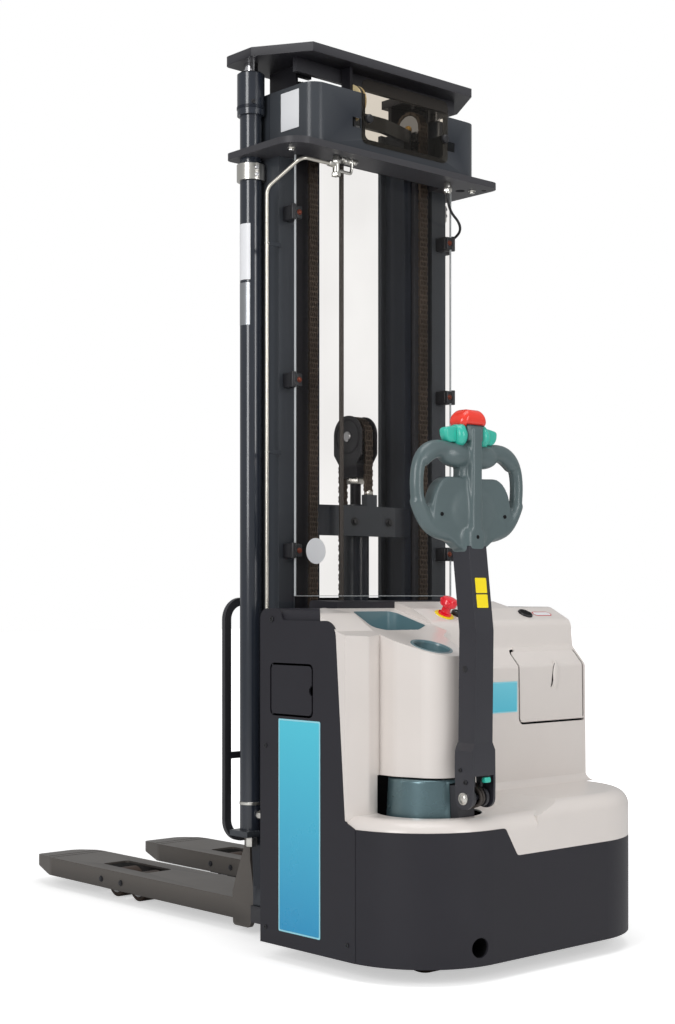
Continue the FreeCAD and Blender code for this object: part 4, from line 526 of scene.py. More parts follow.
def rectangle(sides, heights, corner_at):
    """Four corners of an upright rectangle; corner_at turns a side place and a height into a point."""
    (near, far), (low, high) = sides, heights
    return [corner_at(near, low), corner_at(far, low), corner_at(far, high), corner_at(near, high)]


def label(sides, heights, corner_at, thickness, corner, finish):
    """Thin blank label on a face, with its finish."""
    return plate(rectangle(sides, heights, corner_at), thickness, corner=corner), finish


def stacked(bm, modifiers):
    """A shape after several modifiers have been applied to it in turn."""
    mesh = bpy.data.meshes.new("rough")
    bm.to_mesh(mesh)
    bm.free()
    holder = bpy.data.objects.new("rough", mesh)
    scene.collection.objects.link(holder)
    for kind, settings in modifiers:
        modifier = holder.modifiers.new(kind, kind)
        for setting, value in settings.items():
            setattr(modifier, setting, value)
    result = bpy.data.meshes.new_from_object(holder.evaluated_get(bpy.context.evaluated_depsgraph_get()))
    made = bmesh.new()
    made.from_mesh(result)
    bpy.data.objects.remove(holder)
    bpy.data.meshes.remove(mesh)
    bpy.data.meshes.remove(result)
    return made


def one_mesh(shapes):
    """Shapes and their finishes as one bmesh, with the list of finishes used."""
    whole = bmesh.new()
    finishes = []
    for shape, finish in shapes:
        if finish not in finishes:
            finishes.append(finish)
        for face in shape.faces:
            face.material_index = finishes.index(finish)
            face.smooth = True
        part = bpy.data.meshes.new("part")
        shape.to_mesh(part)
        shape.free()
        whole.from_mesh(part)
        bpy.data.meshes.remove(part)
    return whole, finishes


def piece(name, body, shapes, replaces=(), smooth_angle=35):
    """Finished object from shapes, riding on a body if one is given."""
    whole, finishes = one_mesh(shapes)
    mesh = bpy.data.meshes.new(name)
    whole.to_mesh(mesh)
    whole.free()
    mesh.set_sharp_from_angle(angle=math.radians(smooth_angle))
    for finish in finishes:
        mesh.materials.append(M[finish])
    made = bpy.data.objects.new(name, mesh)
    scene.collection.objects.link(made)
    if body:
        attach(made, body)
    if replaces:
        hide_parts(*replaces)
    return made


# ------------------------------------------------------------------ tiller head
head_low, head_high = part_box("tiller_head")
HEAD_X, HEAD_Y, _ = (head_low + head_high) / 2
HEAD_TOP = head_high[2]
HEAD_HALF = (head_high[1] - head_low[1]) / 2
GRIP_R = 0.0155             # tube of the loop handles
PADDLE_T = 0.034            # thickness of the lower paddle
ARM_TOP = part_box("tiller_arm")[1][2]


def on_head(back, side, height):
    """Point on the tiller head: behind its middle plane, to the left, and up from the arm's top."""
    return Vector((HEAD_X - back, HEAD_Y + side, ARM_TOP + height))


def tiller_grip():
    """Moulded head with two loop handles, grown together and smoothed."""
    half_outline = [(0.031, -0.012), (0.066, 0.012), (0.124, 0.052), (0.126, 0.086), (0.114, 0.126),
                    (0.084, 0.153), (0.040, 0.150)]
    outline = [on_head(PADDLE_T / 2, y, z) for y, z in half_outline]
    outline += [on_head(PADDLE_T / 2, -y, z) for y, z in reversed(half_outline)]
    lumps = [plate(outline, (PADDLE_T, 0, 0), corner=0.020, edge=0.007, segments=5)]
    lumps.append(ball(on_head(0.002, 0, 0.078), (0.022, 0.100, 0.074)))
    side_line = [(0.031, 0.262), (0.031, 0.160), (0.030, 0.080), (0.029, -0.016), (-0.027, -0.016),
                 (-0.026, 0.262)]
    lumps.append(plate([on_head(back, -0.0165, z) for back, z in side_line], (0, 0.033, 0), edge=0.003))
    lumps.append(block(on_head(0.030, -0.031, -0.018), on_head(-0.027, 0.031, 0.040), 0.012, 4))
    lumps.append(ball(on_head(0.004, 0, 0.020), (0.025, 0.050, 0.034)))
    lumps.append(block(on_head(0.012, -0.034, 0.140), on_head(-0.020, 0.034, 0.236), 0.012, 4))
    for side in (-1, 1):
        route = [(0.030, 0.022), (0.090, 0.026), (0.140, 0.052), (HEAD_HALF - GRIP_R, 0.100),
                 (HEAD_HALF - GRIP_R, 0.168), (0.138, 0.206), (0.092, 0.220), (0.040, 0.210)]
        lumps.append(cable([on_head(0, side * y, z) for y, z in route], GRIP_R, sides=5))
        lumps.append(cable([on_head(0, side * y, z) for y, z in route[:4]], GRIP_R + 0.002, sides=5))
        top = [(0.146, 0.184), (0.122, 0.204), (0.085, 0.212), (0.040, 0.203)]
        lumps.append(cable([on_head(0, side * y, z) for y, z in top], 0.0185, sides=5))
        lumps.append(ball(on_head(0, side * 0.040, 0.200), (0.026, 0.052, 0.028)))
        lumps.append(ball(on_head(0, side * 0.100, 0.068), (0.0185, 0.040, 0.036)))
    whole, _ = one_mesh([(lump, "grip") for lump in lumps])
    return stacked(whole, [("REMESH", {"mode": "VOXEL", "voxel_size": 0.0026}),
                           ("SMOOTH", {"factor": 0.5, "iterations": 22})])


shapes = [(tiller_grip(), "grip")]
# near-black discs at the paddle's three screws paint the shade inside their holes
for side in (-1, 1):
    shapes.append((rod(on_head(0.012, side * 0.101, 0.068), on_head(0.0205, side * 0.101, 0.068), 0.0042),
                   "hole_shade_and_dial"))
shapes.append((rod(on_head(0.024, 0, 0.020), on_head(0.0315, 0, 0.020), 0.0042), "hole_shade_and_dial"))
piece("tiller_head_moulding", "tiller", shapes, replaces=["tiller_head"], smooth_angle=80)

shapes = []
button = block(on_head(0.027, -0.042, HEAD_TOP - ARM_TOP), on_head(-0.027, 0.042, 1.260 - ARM_TOP),
               0.0175, 6)
for v in button.verts:
    rise = (v.co.z - HEAD_TOP) / 0.038
    v.co.y = HEAD_Y + (v.co.y - HEAD_Y) * (1.02 - 0.34 * rise * rise)
    v.co.z += 0.006 * (1 - ((v.co.y - HEAD_Y) / 0.042) ** 2) * rise - 0.003 * rise
shapes.append((button, "red"))
shapes.append((block(on_head(0.026, -0.024, HEAD_TOP - 0.030 - ARM_TOP),
                     on_head(-0.024, 0.024, HEAD_TOP + 0.006 - ARM_TOP), 0.005, 3), "grip"))
shapes.append((block(on_head(0.0265, -0.026, HEAD_TOP + 0.003 - ARM_TOP),
                     on_head(-0.0245, 0.026, HEAD_TOP + 0.0055 - ARM_TOP), 0.001), "black"))
for side in (-1, 1):
    middle = on_head(0.002, side * 0.036, 0.243)
    shapes.append((lathe([(0, -0.012), (0.019, -0.012), (0.024, -0.008), (0.0255, 0), (0.024, 0.009),
                          (0.018, 0.013), (0, 0.013)], middle, (0, side, 0)), "teal"))
    wing = [(0.046, 0.228), (0.070, 0.226), (0.082, 0.238), (0.084, 0.258), (0.064, 0.262), (0.046, 0.264)]
    shapes.append((plate([on_head(0.013, side * y, z) for y, z in wing], (0.022, 0, 0), corner=0.007,
                         edge=0.005, segments=4), "teal"))
    shapes.append((ball(on_head(0.010, side * 0.034, 0.256), (0.014, 0.010, 0.013)), "teal"))
    shapes.append((rod(on_head(0.0, side * 0.016, 0.243), on_head(0.0, side * 0.026, 0.243), 0.012),
                   "black"))
piece("tiller_switches", "tiller", shapes, replaces=["tiller_controls"], smooth_angle=50)

# ------------------------------------------------------------------ tiller arm and pivot
arm_low, arm_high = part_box("tiller_arm")
ARM_KINK = 0.774            # height of the bend in the arm
ARM_REAR = arm_low[0]
ARM_SIDE = 0.0285           # half the width of the arm
pivot = next(j for j in frame["record"]["behaviour"]["joints"] if j["name"] == "tiller_tilt")
PIVOT = Vector(pivot["pos_m"])
lean = 0.022 / (arm_high[2] - ARM_KINK)
YOKE_SIDE = (arm_high[1] - arm_low[1]) / 2 - 0.002


def arm_rear(side, height, proud=0.0):
    """Point on the arm's rear face above its bend."""
    return Vector((ARM_REAR + (height - ARM_KINK) * lean - proud, HEAD_Y + side, height))


shapes = []
for low, high in ((0.824, 0.8535), (0.8565, 0.890)):
    shapes.append(label((-0.018, 0.018), (low, high), lambda y, z: arm_rear(y, z, 0.0002),
                        (-0.0004, 0, 0), 0.002, "yellow"))
shapes.append(label((-0.0195, 0.0195), (0.8225, 0.8915), arm_rear, (-0.0003, 0, 0), 0.002, "black"))
side_face = HEAD_Y + ARM_SIDE
shapes.append((lathe([(0, 0.0016), (0.0045, 0.0016), (0.006, 0.0008), (0.0075, 0.0008), (0.008, -0.0004),
                      (0, -0.0004)], (PIVOT[0] + 0.004, side_face, 0.689), (0, 1, 0)), "black"))
for side in (-1, 1):
    face = HEAD_Y + side * YOKE_SIDE
    shapes.append((lathe([(0, 0.0060), (0.006, 0.0060), (0.0085, 0.0048), (0.010, 0.003), (0.0135, 0.0026),
                          (0.0138, -0.0005), (0, -0.0005)], (PIVOT[0], face, PIVOT[2]), (0, side, 0)),
                   "zinc"))
    shapes += socket_screw((PIVOT[0] - 0.006, face, PIVOT[2] + 0.036), (0, side, 0), 0.0055, 0.003, "black")
    shapes += socket_screw((PIVOT[0] + 0.010, face, PIVOT[2] + 0.062), (0, side, 0), 0.0045, 0.003, "black")
    shapes.append((rod((PIVOT[0] - 0.006, HEAD_Y + side * 0.012, PIVOT[2] + 0.024),
                       (PIVOT[0] - 0.006, HEAD_Y + side * 0.012, PIVOT[2] + 0.048), 0.0045), "black"))
shapes.append((block((PIVOT[0] - 0.030, HEAD_Y - 0.020, PIVOT[2] + 0.034),
                     (PIVOT[0] - 0.016, HEAD_Y - 0.002, PIVOT[2] + 0.046), 0.003, 3), "teal"))
piece("tiller_arm_trim", "tiller", shapes)

shapes = []
for side, bow in ((-0.010, 0.016), (0.002, 0.020)):
    route = [(PIVOT[0] + 0.012, HEAD_Y + side, PIVOT[2] + 0.030),
             (PIVOT[0] - bow, HEAD_Y + side, PIVOT[2] + 0.016),
             (PIVOT[0] - bow, HEAD_Y + side, PIVOT[2] - 0.018),
             (PIVOT[0] + 0.034, HEAD_Y + side, PIVOT[2] - 0.026)]
    shapes.append((cable(route, 0.0038), "hose"))
for turn in range(9):
    shapes.append((ring((PIVOT[0] + 0.012, HEAD_Y + 0.012, PIVOT[2] - 0.012 + turn * 0.0032), (0.1, 0, 1),
                        0.0052, 0.0011, steps=16, sides=6), "zinc"))
piece("tiller_pivot_cables", "steering", shapes)

# ------------------------------------------------------------------ leaf chains
PITCH = 0.0127              # distance between chain pins
LINK_T = 0.0019             # thickness of one link plate


def repeated(bm, count, offset):
    """A shape repeated in a straight row."""
    return stacked(bm, [("ARRAY", {"use_relative_offset": False, "use_constant_offset": True,
                                   "constant_offset_displace": offset, "count": count})])


def link_plate(middle, along, side, thick):
    """One waisted chain link between two pins."""
    along = Vector(along).normalized()
    across = along.cross(Vector((0, 1, 0)))
    a, b = PITCH / 2, thick / 2 * 0.96
    outline = [(-a - b * 0.7, 0), (-a - b * 0.35, b * 0.85), (-a + b * 0.4, b), (0, b * 0.72),
               (a - b * 0.4, b), (a + b * 0.35, b * 0.85), (a + b * 0.7, 0), (a + b * 0.35, -b * 0.85),
               (a - b * 0.4, -b), (0, -b * 0.72), (-a + b * 0.4, -b), (-a - b * 0.35, -b * 0.85)]
    place = Vector(middle) + Vector((0, side - LINK_T / 2, 0))
    return plate([place + along * u + across * v for u, v in outline], (0, LINK_T, 0))


def link_set(middle, along, width, thick, odd):
    """The link plates between two pins."""
    rows = 5
    shift = LINK_T * 1.12 if odd else 0.0
    step = (width - LINK_T * 2.3) / (rows - 1)
    return [link_plate(middle, along, -width / 2 + LINK_T * 0.6 + n * step + shift, thick)
            for n in range(rows)]


def join(shapes):
    """Chain shapes as one."""
    whole, _ = one_mesh([(shape, "chain") for shape in shapes])
    return whole


def chain_strand(x, y, low, high, width, thick):
    """Straight upright length of leaf chain."""
    count = max(1, round((high - low) / (2 * PITCH)))
    up = Vector((0, 0, 1))
    first = Vector((x, y, low + PITCH / 2))
    shapes = link_set(first, up, width, thick, False) + link_set(first + up * PITCH, up, width, thick, True)
    for n in (0, 1):
        pin = first + up * (PITCH * n + PITCH / 2)
        shapes.append(rod(pin - Vector((0, width / 2, 0)), pin + Vector((0, width / 2, 0)), thick * 0.24,
                          edge=0, sides=8))
    return repeated(join(shapes), count, (0, 0, 2 * PITCH))


def chain_over(x, y, z, radius, width, thick):
    """Half turn of leaf chain over a sheave."""
    count = round(PI * radius / PITCH)
    shapes = []
    for n in range(count):
        angle = PI * (n + 0.5) / count
        middle = Vector((x + radius * math.cos(angle), y, z + radius * math.sin(angle)))
        along = Vector((-math.sin(angle), 0, math.cos(angle)))
        shapes += link_set(middle, along, width, thick, n % 2 == 1)
    return join(shapes)


sheave_low, sheave_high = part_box("side_sheaves")
SHEAVE_X = (sheave_low[0] + sheave_high[0]) / 2
SHEAVE_Z = (sheave_low[2] + sheave_high[2]) / 2
CHAIN_T = 0.010             # thickness of a leaf chain
CHAIN_W = 0.027             # width of a side chain
chain_low, chain_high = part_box("side_chains_rear")
CHAIN_Y = chain_high[1] - CHAIN_W / 2
CHAIN_R = chain_high[2] - SHEAVE_Z - CHAIN_T / 2
front_low, front_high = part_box("side_chains_front")
shapes = []
for side in (-1, 1):
    shapes.append((chain_strand(chain_low[0] + CHAIN_T / 2, side * CHAIN_Y, chain_low[2], SHEAVE_Z, CHAIN_W,
                                CHAIN_T), "chain"))
    shapes.append((chain_over(SHEAVE_X, side * CHAIN_Y, SHEAVE_Z, CHAIN_R, CHAIN_W, CHAIN_T), "chain"))
rear_chains = piece("side_chain_links_rear", None, shapes, replaces=["side_chains_rear"])
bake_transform(rear_chains)
shapes = []
for side in (-1, 1):
    shapes.append((chain_strand((front_low[0] + front_high[0]) / 2, side * CHAIN_Y, front_low[2], SHEAVE_Z,
                                CHAIN_W, CHAIN_T), "chain"))
front_chains = piece("side_chain_links_front", None, shapes, replaces=["side_chains_front"])
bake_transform(front_chains)

free_low, free_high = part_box("free_lift_chain_rear")
sheave_low, sheave_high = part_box("free_lift_sheave")
FREE_X = (sheave_low[0] + sheave_high[0]) / 2
FREE_Z = (sheave_low[2] + sheave_high[2]) / 2
FREE_Y = (free_low[1] + free_high[1]) / 2
FREE_W = free_high[1] - free_low[1]
FREE_R = free_high[2] - FREE_Z - CHAIN_T / 2
shapes = [(chain_strand(free_low[0] + CHAIN_T / 2, FREE_Y, free_low[2], FREE_Z, FREE_W, CHAIN_T), "chain"),
          (chain_over(FREE_X, FREE_Y, FREE_Z, FREE_R, FREE_W, CHAIN_T), "chain")]
free_rear = piece("free_lift_links_rear", None, shapes, replaces=["free_lift_chain_rear"])
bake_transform(free_rear)
low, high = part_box("free_lift_chain_front")
shapes = [(chain_strand((low[0] + high[0]) / 2, FREE_Y, low[2], FREE_Z, FREE_W, CHAIN_T), "chain")]
free_front = piece("free_lift_links_front", "free_lift", shapes, replaces=["free_lift_chain_front"])
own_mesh(free_front)

# ------------------------------------------------------------------ shield, its clamps and the window
shield_low, shield_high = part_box("mast_shield")
clamps_low, clamps_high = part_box("shield_clamps")
# pale strips along the sheet's sides and foot paint the highlight on its edges
shapes = []
for y in (shield_low[1], shield_high[1]):
    shapes.append((block((shield_low[0] - 0.0004, y - 0.0012, shield_low[2]),
                         (shield_high[0] + 0.0002, y + 0.0012, shield_high[2] - 0.001), 0.0003, 1),
                   "sheet_edge_highlight"))
shapes.append((block((shield_low[0] - 0.0004, shield_low[1], shield_low[2] - 0.0008),
                     (shield_high[0] + 0.0002, shield_high[1], shield_low[2] + 0.001), 0.0003, 1),
               "sheet_edge_highlight"))
piece("mast_shield_edge_highlight", "truck", shapes)

CLAMPS = [clamps_low[2] + 0.018, 1.378, clamps_high[2] - 0.018]
shapes = []
for side in (-1, 1):
    y = side * (clamps_high[1] - 0.013)
    for z in CLAMPS:
        shapes.append((block((clamps_low[0] + 0.0003, y - 0.013, z - 0.018),
                             (clamps_high[0], y + 0.013, z + 0.018), 0.003, 3), "black"))
        shapes.append((block((clamps_low[0] - 0.008, y - 0.010 - side * 0.004, z - 0.016),
                             (clamps_low[0] + 0.001, y + 0.008 - side * 0.004, z + 0.016), 0.0025, 3),
                       "black"))
        shapes.append((rod((clamps_low[0] - 0.004, y + side * 0.012, z - 0.019),
                           (clamps_low[0] - 0.004, y + side * 0.012, z + 0.019), 0.0065, edge=0.001),
                       "black"))
        shapes += hex_bolt((clamps_low[0] - 0.008, y - side * 0.004, z), (-1, 0, 0), 0.009, 0.004, "copper")
piece("shield_clamp_details", "truck", shapes, replaces=["shield_clamps"])

window_low, window_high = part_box("guard_window")
corners = rectangle((window_low[1], window_high[1]), (window_low[2], window_high[2]),
                    lambda y, z: (window_low[0] - 0.0002, y, z))
# pale frame round the window paints the highlight on its edge
shapes = [(border(corners, 0.0016, (0.0044, 0, 0), corner=0.018), "sheet_edge_highlight")]
for y, z in ((window_high[1] - 0.020, 2.027), (window_low[1] + 0.012, 2.027)):
    shapes.append((lathe([(0, 0.009), (0.007, 0.009), (0.0105, 0.006), (0.0115, 0.001), (0.0115, -0.0002),
                          (0, -0.0002)], (window_low[0], y, z), (-1, 0, 0)), "black"))
piece("window_edge_highlight_and_knobs", "truck", shapes)

# ------------------------------------------------------------------ mast head
guard_low, guard_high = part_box("mast_head_guard")
plate_low, plate_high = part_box("mast_head_plate")
top_low, top_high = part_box("intermediate_mast")
rods_low, rods_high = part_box("cylinder_rods")
CYL_X = (rods_low[0] + rods_high[0]) / 2
CYL_Y = rods_high[1] - 0.0175
TUBE_R = 0.027              # outer radius of a side lift cylinder
shapes = [label((0.552, 0.6195), (1.984, 2.077), lambda d, z: at(d, guard_high[1] + 0.0001, z),
                (0, 0.0005, 0), 0.0015, "white")]
for y in (0.150, 0.162, 0.136):
    route = [(guard_low[0] + 0.016, y, guard_low[2]), (guard_low[0] + 0.016, y, 2.03),
             (guard_low[0] + 0.03, y, guard_high[2])]
    shapes.append((cable(route, 0.0045), "yellow" if y > 0.16 else "black"))
for side in (-1, 1):
    shapes += hex_bolt((plate_low[0] + 0.060, side * (plate_high[1] - 0.045), plate_low[2]), (0, 0, -1),
                       0.013, 0.006)
    for d in (0.030, 0.120):
        shapes += hex_bolt((guard_low[0] + d, side * (guard_high[1] + 0.016), plate_high[2]), (0, 0, 1),
                           0.010, 0.005, "black")
    for d in (0.62, 0.73):
        shapes += socket_screw(at(d, side * 0.25, plate_high[2]), (0, 0, 1), 0.007, 0.006, "black")
piece("mast_head_trim", "truck", shapes)

pipe_low, pipe_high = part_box("hydraulic_pipe")
PIPE_END = Vector((pipe_low[0] + 0.0055, pipe_low[1], pipe_high[2] - 0.0045))
shapes = []
top = PIPE_END + Vector((0, -0.012, 0))
shapes.append(upright(top, -0.022, 0.022, 0.0085, sides=32))
shapes.append(upright(top, 0.004, 0.014, 0.0115))
shapes.append(upright(top, -0.028, -0.018, 0.0115))
shapes.append((rod(PIPE_END - Vector((0, 0.012, 0)), PIPE_END + Vector((0, 0.014, 0)), 0.0075, edge=0.001,
                   sides=6), "zinc"))
bend = [top + Vector((0, -0.006, -0.012)), top + Vector((0, -0.040, -0.014)),
        top + Vector((0, -0.052, -0.012)), top + Vector((0, -0.052, 0.022))]
shapes.append((cable(bend, 0.0040), "zinc"))
for y in (-0.036, -0.052, -0.064):
    nut = top + Vector((0.004, y, 0.012))
    shapes.append(upright(nut, 0, 0.011, 0.0075, edge=0.0008))
shapes.append((block(top + Vector((0.000, -0.075, 0.017)), top + Vector((0.030, -0.020, 0.0225)), 0.001),
               "zinc"))
right = Vector((PIPE_END[0], -0.203, PIPE_END[2]))
shapes.append(upright(right, -0.006, 0.0225, 0.0085, sides=32))
shapes.append(upright(right, -0.002, 0.009, 0.0120))
lead = [right - Vector((0, 0, 0.004)), right - Vector((0, 0, 0.045)), at(0.560, -0.286, 1.835),
        at(0.592, -0.306, 1.810), at(0.640, -0.306, 1.800)]
shapes.append((cable(lead, 0.0035), "black"))
for z in (0.60, 1.20, 1.707):
    clip = Vector((pipe_high[0] - 0.0317, pipe_high[1] - 0.0048, z))
    shapes.append((ring(clip, (0, 0, 1), 0.0056, 0.0012, steps=20, sides=6), "zinc"))
    shapes.append((block((clip[0] - 0.002, 0.292, z - 0.005),
                         (clip[0] + 0.0025, clip[1] - 0.004, z + 0.005), 0.0006), "mast"))
piece("hydraulic_fittings", "truck", shapes)


def wrapped(x, y, radius, low, high, facing, half_angle, thick=0.0005):
    """Label bent round an upright cylinder; facing is the angle from +Y that its middle looks along."""
    bm = bmesh.new()
    lean = Matrix.Rotation(facing - half_angle, 4, "Z")
    section = ((0.0001, low), (thick, low), (thick, high), (0.0001, high))
    corners = [lean @ Vector((0, radius + step, z)) for step, z in section]
    face = bm.faces.new([bm.verts.new(c) for c in corners])
    bmesh.ops.spin(bm, geom=[face], cent=(0, 0, 0), axis=(0, 0, 1), angle=2 * half_angle, steps=12)
    bmesh.ops.translate(bm, vec=(x, y, 0), verts=bm.verts)
    bmesh.ops.recalc_face_normals(bm, faces=bm.faces)
    return bm


shapes = [(wrapped(CYL_X, CYL_Y, TUBE_R, 1.627, 1.765, 0.05, 0.80), "white"),
          (wrapped(CYL_X, CYL_Y, TUBE_R, 1.516, 1.620, 0.10, 0.72), "metal_label")]
for side in (-1, 1):
    middle = Vector((CYL_X, side * CYL_Y, 0))
    shapes.append((lathe([(TUBE_R, 0.336), (TUBE_R + 0.0014, 0.337), (TUBE_R + 0.0014, 0.343),
                          (TUBE_R, 0.344)], middle, (0, 0, 1), steps=48), "zinc"))
    shapes.append(upright(middle, 0.232, 0.262, 0.014, edge=0.002))
    shapes.append((rod((CYL_X - 0.050, side * CYL_Y, 0.313), (CYL_X - 0.036, side * CYL_Y, 0.313), 0.0125,
                       edge=0.001, sides=6), "zinc"))
    shapes.append((ball((CYL_X - 0.036, side * CYL_Y, 0.313), (0.011, 0.0115, 0.0115)), "zinc"))
    collar = [(0.0342, 2.048), (0.0352, 2.049), (0.0352, 2.055), (0.0342, 2.056)]
    shapes.append((lathe([(0.0176, 2.134), (0.0285, 2.134), (0.031, 2.1355), (0.0285, 2.139),
                          (0.0178, 2.139)], middle, (0, 0, 1), steps=48), "black"))
    shapes.append((lathe(collar, middle, (0, 0, 1), steps=48), "mast"))
    shapes += socket_screw(middle + Vector((-0.030, side * 0.0165, 2.062)), (-0.87, side * 0.49, 0), 0.0055,
                           0.002, "black")
    shapes += socket_screw(middle + Vector((-0.0345, side * 0.010, 1.901)), (-1, side * 0.25, 0), 0.0050,
                           0.004, "steel")
    shapes += socket_screw(middle + Vector((-0.0345, side * 0.010, 1.883)), (-1, side * 0.25, 0), 0.0050,
                           0.004, "steel")
    shapes.append((block((CYL_X - 0.0155, min(side * 0.2925, side * 0.318), 1.8705),
                         (CYL_X + 0.0215, max(side * 0.2925, side * 0.318), 1.9135), 0.002), "dark"))
    shapes += hex_bolt((CYL_X - 0.0155, side * 0.302, 1.892), (-1, 0, 0), 0.012, 0.007)
piece("lift_cylinder_trim", "truck", shapes)

shapes = []
for side in (-1, 1):
    shapes += socket_screw((CYL_X, side * CYL_Y, top_high[2]), (0, 0, 1), 0.011, 0.002, "black")
    for x in (top_low[0] + 0.03, top_low[0] + 0.14):
        shapes += socket_screw((x, side * 0.235, top_high[2]), (0, 0, 1), 0.008, 0.002, "black")
    axle = Vector((SHEAVE_X, side * (CHAIN_Y - 0.0125), SHEAVE_Z))
    shapes.append((lathe([(0, 0.004), (0.008, 0.004), (0.010, 0.002), (0.0125, 0.0015), (0.0125, -0.001),
                          (0, -0.001)], axle, (0, -side, 0)), "brass"))
    shapes += socket_screw(axle + Vector((0, -side * 0.003, 0)), (0, -side, 0), 0.0042, 0.003, "steel")
piece("top_plate_and_sheave_screws", "intermediate", shapes)

shapes = []
cross_x = at(0.618, 0, 0)[0]
for y in (-0.075, 0.047):
    shapes += hex_bolt((cross_x, y, 1.040), (-1, 0, 0), 0.014, 0.007, "black")
anchor = Vector((at(0.632, 0, 0)[0], FREE_Y, 1.110))
shapes.append(upright(anchor, -0.060, 0.012, 0.0065, sides=32))
shapes.append(upright(anchor, 0.0005, 0.009, 0.011))
piece("inner_mast_bolts", "inner", shapes)

yoke_low, yoke_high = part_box("free_lift_head")
shapes = [(rod((FREE_X, FREE_Y, 1.140), (FREE_X, FREE_Y, 1.156), 0.024, edge=0.002, sides=6), "zinc"),
          (rod((FREE_X, FREE_Y, 1.156), (FREE_X, FREE_Y, 1.166), 0.019, edge=0.002), "steel")]
for side in (-1, 1):
    face = yoke_high[1] if side > 0 else yoke_low[1]
    shapes.append((lathe([(0, 0.0035), (0.011, 0.0035), (0.013, 0.002), (0.013, -0.0005), (0, -0.0005)],
                         (FREE_X, face, FREE_Z), (0, side, 0)), "steel"))
    shapes.append((lathe([(0.040, -0.0004), (0.041, 0.0012), (0.046, 0.0012), (0.047, -0.0004)],
                         (FREE_X, face, FREE_Z), (0, side, 0), steps=48), "plate"))
piece("free_lift_trim", "free_lift", shapes)

# ------------------------------------------------------------------ mast head sides
shapes = []
for side in (-1, 1):
    y = side * guard_high[1]
    shapes.append((block((guard_high[0] - 0.004, min(y, y - side * 0.003), guard_low[2]),
                         (plate_high[0] - 0.012, max(y, y - side * 0.003), guard_high[2]), 0.0006), "mast"))
    shapes += socket_screw((guard_high[0] + 0.025, y, guard_high[2] - 0.020), (0, side, 0), 0.006, 0.003,
                           "steel")
piece("mast_head_side_plates", "truck", shapes)

# ------------------------------------------------------------------ deck controls
EDGE_Z, FLAT_Z = 0.786, 0.822               # heights of the low and high ends of the slope
slope_low, slope_high = at(0.303, 0, EDGE_Z), at(0.373, 0, FLAT_Z)
SLOPE_MID = (slope_low + slope_high) / 2
UPHILL = (slope_high - slope_low).normalized()
SQUARE = Vector((-UPHILL[2], 0, UPHILL[0]))


def on_slope(y, up=0.0, proud=0.0):
    """Point on the sloping face of the right deck."""
    return SLOPE_MID + Vector((0, y, 0)) + UPHILL * up + SQUARE * proud


stop_low, stop_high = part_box("emergency_stop")
STOP_Y = (stop_low[1] + stop_high[1]) / 2
knob = [(0, 0.001), (0.0165, 0.001), (0.0165, 0.006), (0.0115, 0.009), (0.0105, 0.022), (0.0145, 0.024),
        (0.0195, 0.026), (0.021, 0.029), (0.021, 0.035), (0.0200, 0.0365), (0.0195, 0.041),
        (0.017, 0.0445), (0.011, 0.0465), (0, 0.047)]
shapes = [(lathe([(0.0125, -0.0004), (0.024, -0.0004), (0.0245, 0.001), (0.023, 0.0024), (0.0125, 0.0024)],
                 on_slope(STOP_Y), SQUARE), "yellow"),
          (lathe(knob, on_slope(STOP_Y), SQUARE), "stop")]
for n in range(4):
    angle = PI / 4 + n * PI / 2
    out = Vector((0, math.cos(angle), 0)) + UPHILL * math.sin(angle)
    shapes.append((ball(on_slope(STOP_Y, 0, 0.037) + out * 0.0195, (0.0035, 0.0035, 0.0045), 2), "stop"))
piece("emergency_stop_knob", "truck", shapes, replaces=["emergency_stop"])

KEY_Y, GAUGE_Y = -0.036, -0.288
key_collar = [(0, 0.0045), (0.0085, 0.0045), (0.009, 0.009), (0.0125, 0.009), (0.0145, 0.007),
              (0.0148, -0.0004), (0, -0.0004)]
key_plug = [(0, 0.0070), (0.006, 0.0070), (0.0072, 0.006), (0.0072, 0.003), (0, 0.003)]
gauge_rim = [(0, 0.003), (0.0155, 0.003), (0.016, 0.0048), (0.0185, 0.0046), (0.0195, 0.002),
             (0.0195, -0.0004), (0, -0.0004)]
gauge_face = [(0, 0.0034), (0.0150, 0.0034), (0.0150, 0.0029), (0, 0.0029)]
shapes = [(lathe(key_collar, on_slope(KEY_Y), SQUARE), "black"),
          (lathe(key_plug, on_slope(KEY_Y), SQUARE), "steel"),
          (lathe(gauge_rim, on_slope(GAUGE_Y), SQUARE), "black"),
          (lathe(gauge_face, on_slope(GAUGE_Y), SQUARE), "hole_shade_and_dial")]
# near-black bar paints the shade inside the key slot
shapes.append((block(on_slope(KEY_Y, 0, 0.0068) - Vector((0.0008, 0.0035, 0.0008)),
                     on_slope(KEY_Y, 0, 0.0076) + Vector((0.0008, 0.0035, 0.0008)), 0.0002), "hole_shade_and_dial"))
piece("key_and_gauge", "truck", shapes, replaces=["key_switch"])


def oval(y, half, tall, proud):
    """Outline with round ends on the sloping deck."""
    corners = ((-1, -tall), (1, -tall), (1, tall), (-1, tall))
    return [on_slope(y + side * half, up, proud) for side, up in corners]


shapes = [(plate(oval(-0.352, 0.034, 0.011, 0.0001), SQUARE * 0.0003, corner=0.0105), "rim_red"),
          (plate(oval(-0.352, 0.031, 0.008, 0.0003), SQUARE * 0.0003, corner=0.0078), "white")]

# ------------------------------------------------------------------ stickers and plates
SIDE_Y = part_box("side_panel_left")[1][1]    # outer face of the left side panel


def on_side(d, z, proud=0.0):
    """Point on the left side panel."""
    return Vector((REAR + d, SIDE_Y + proud, z))


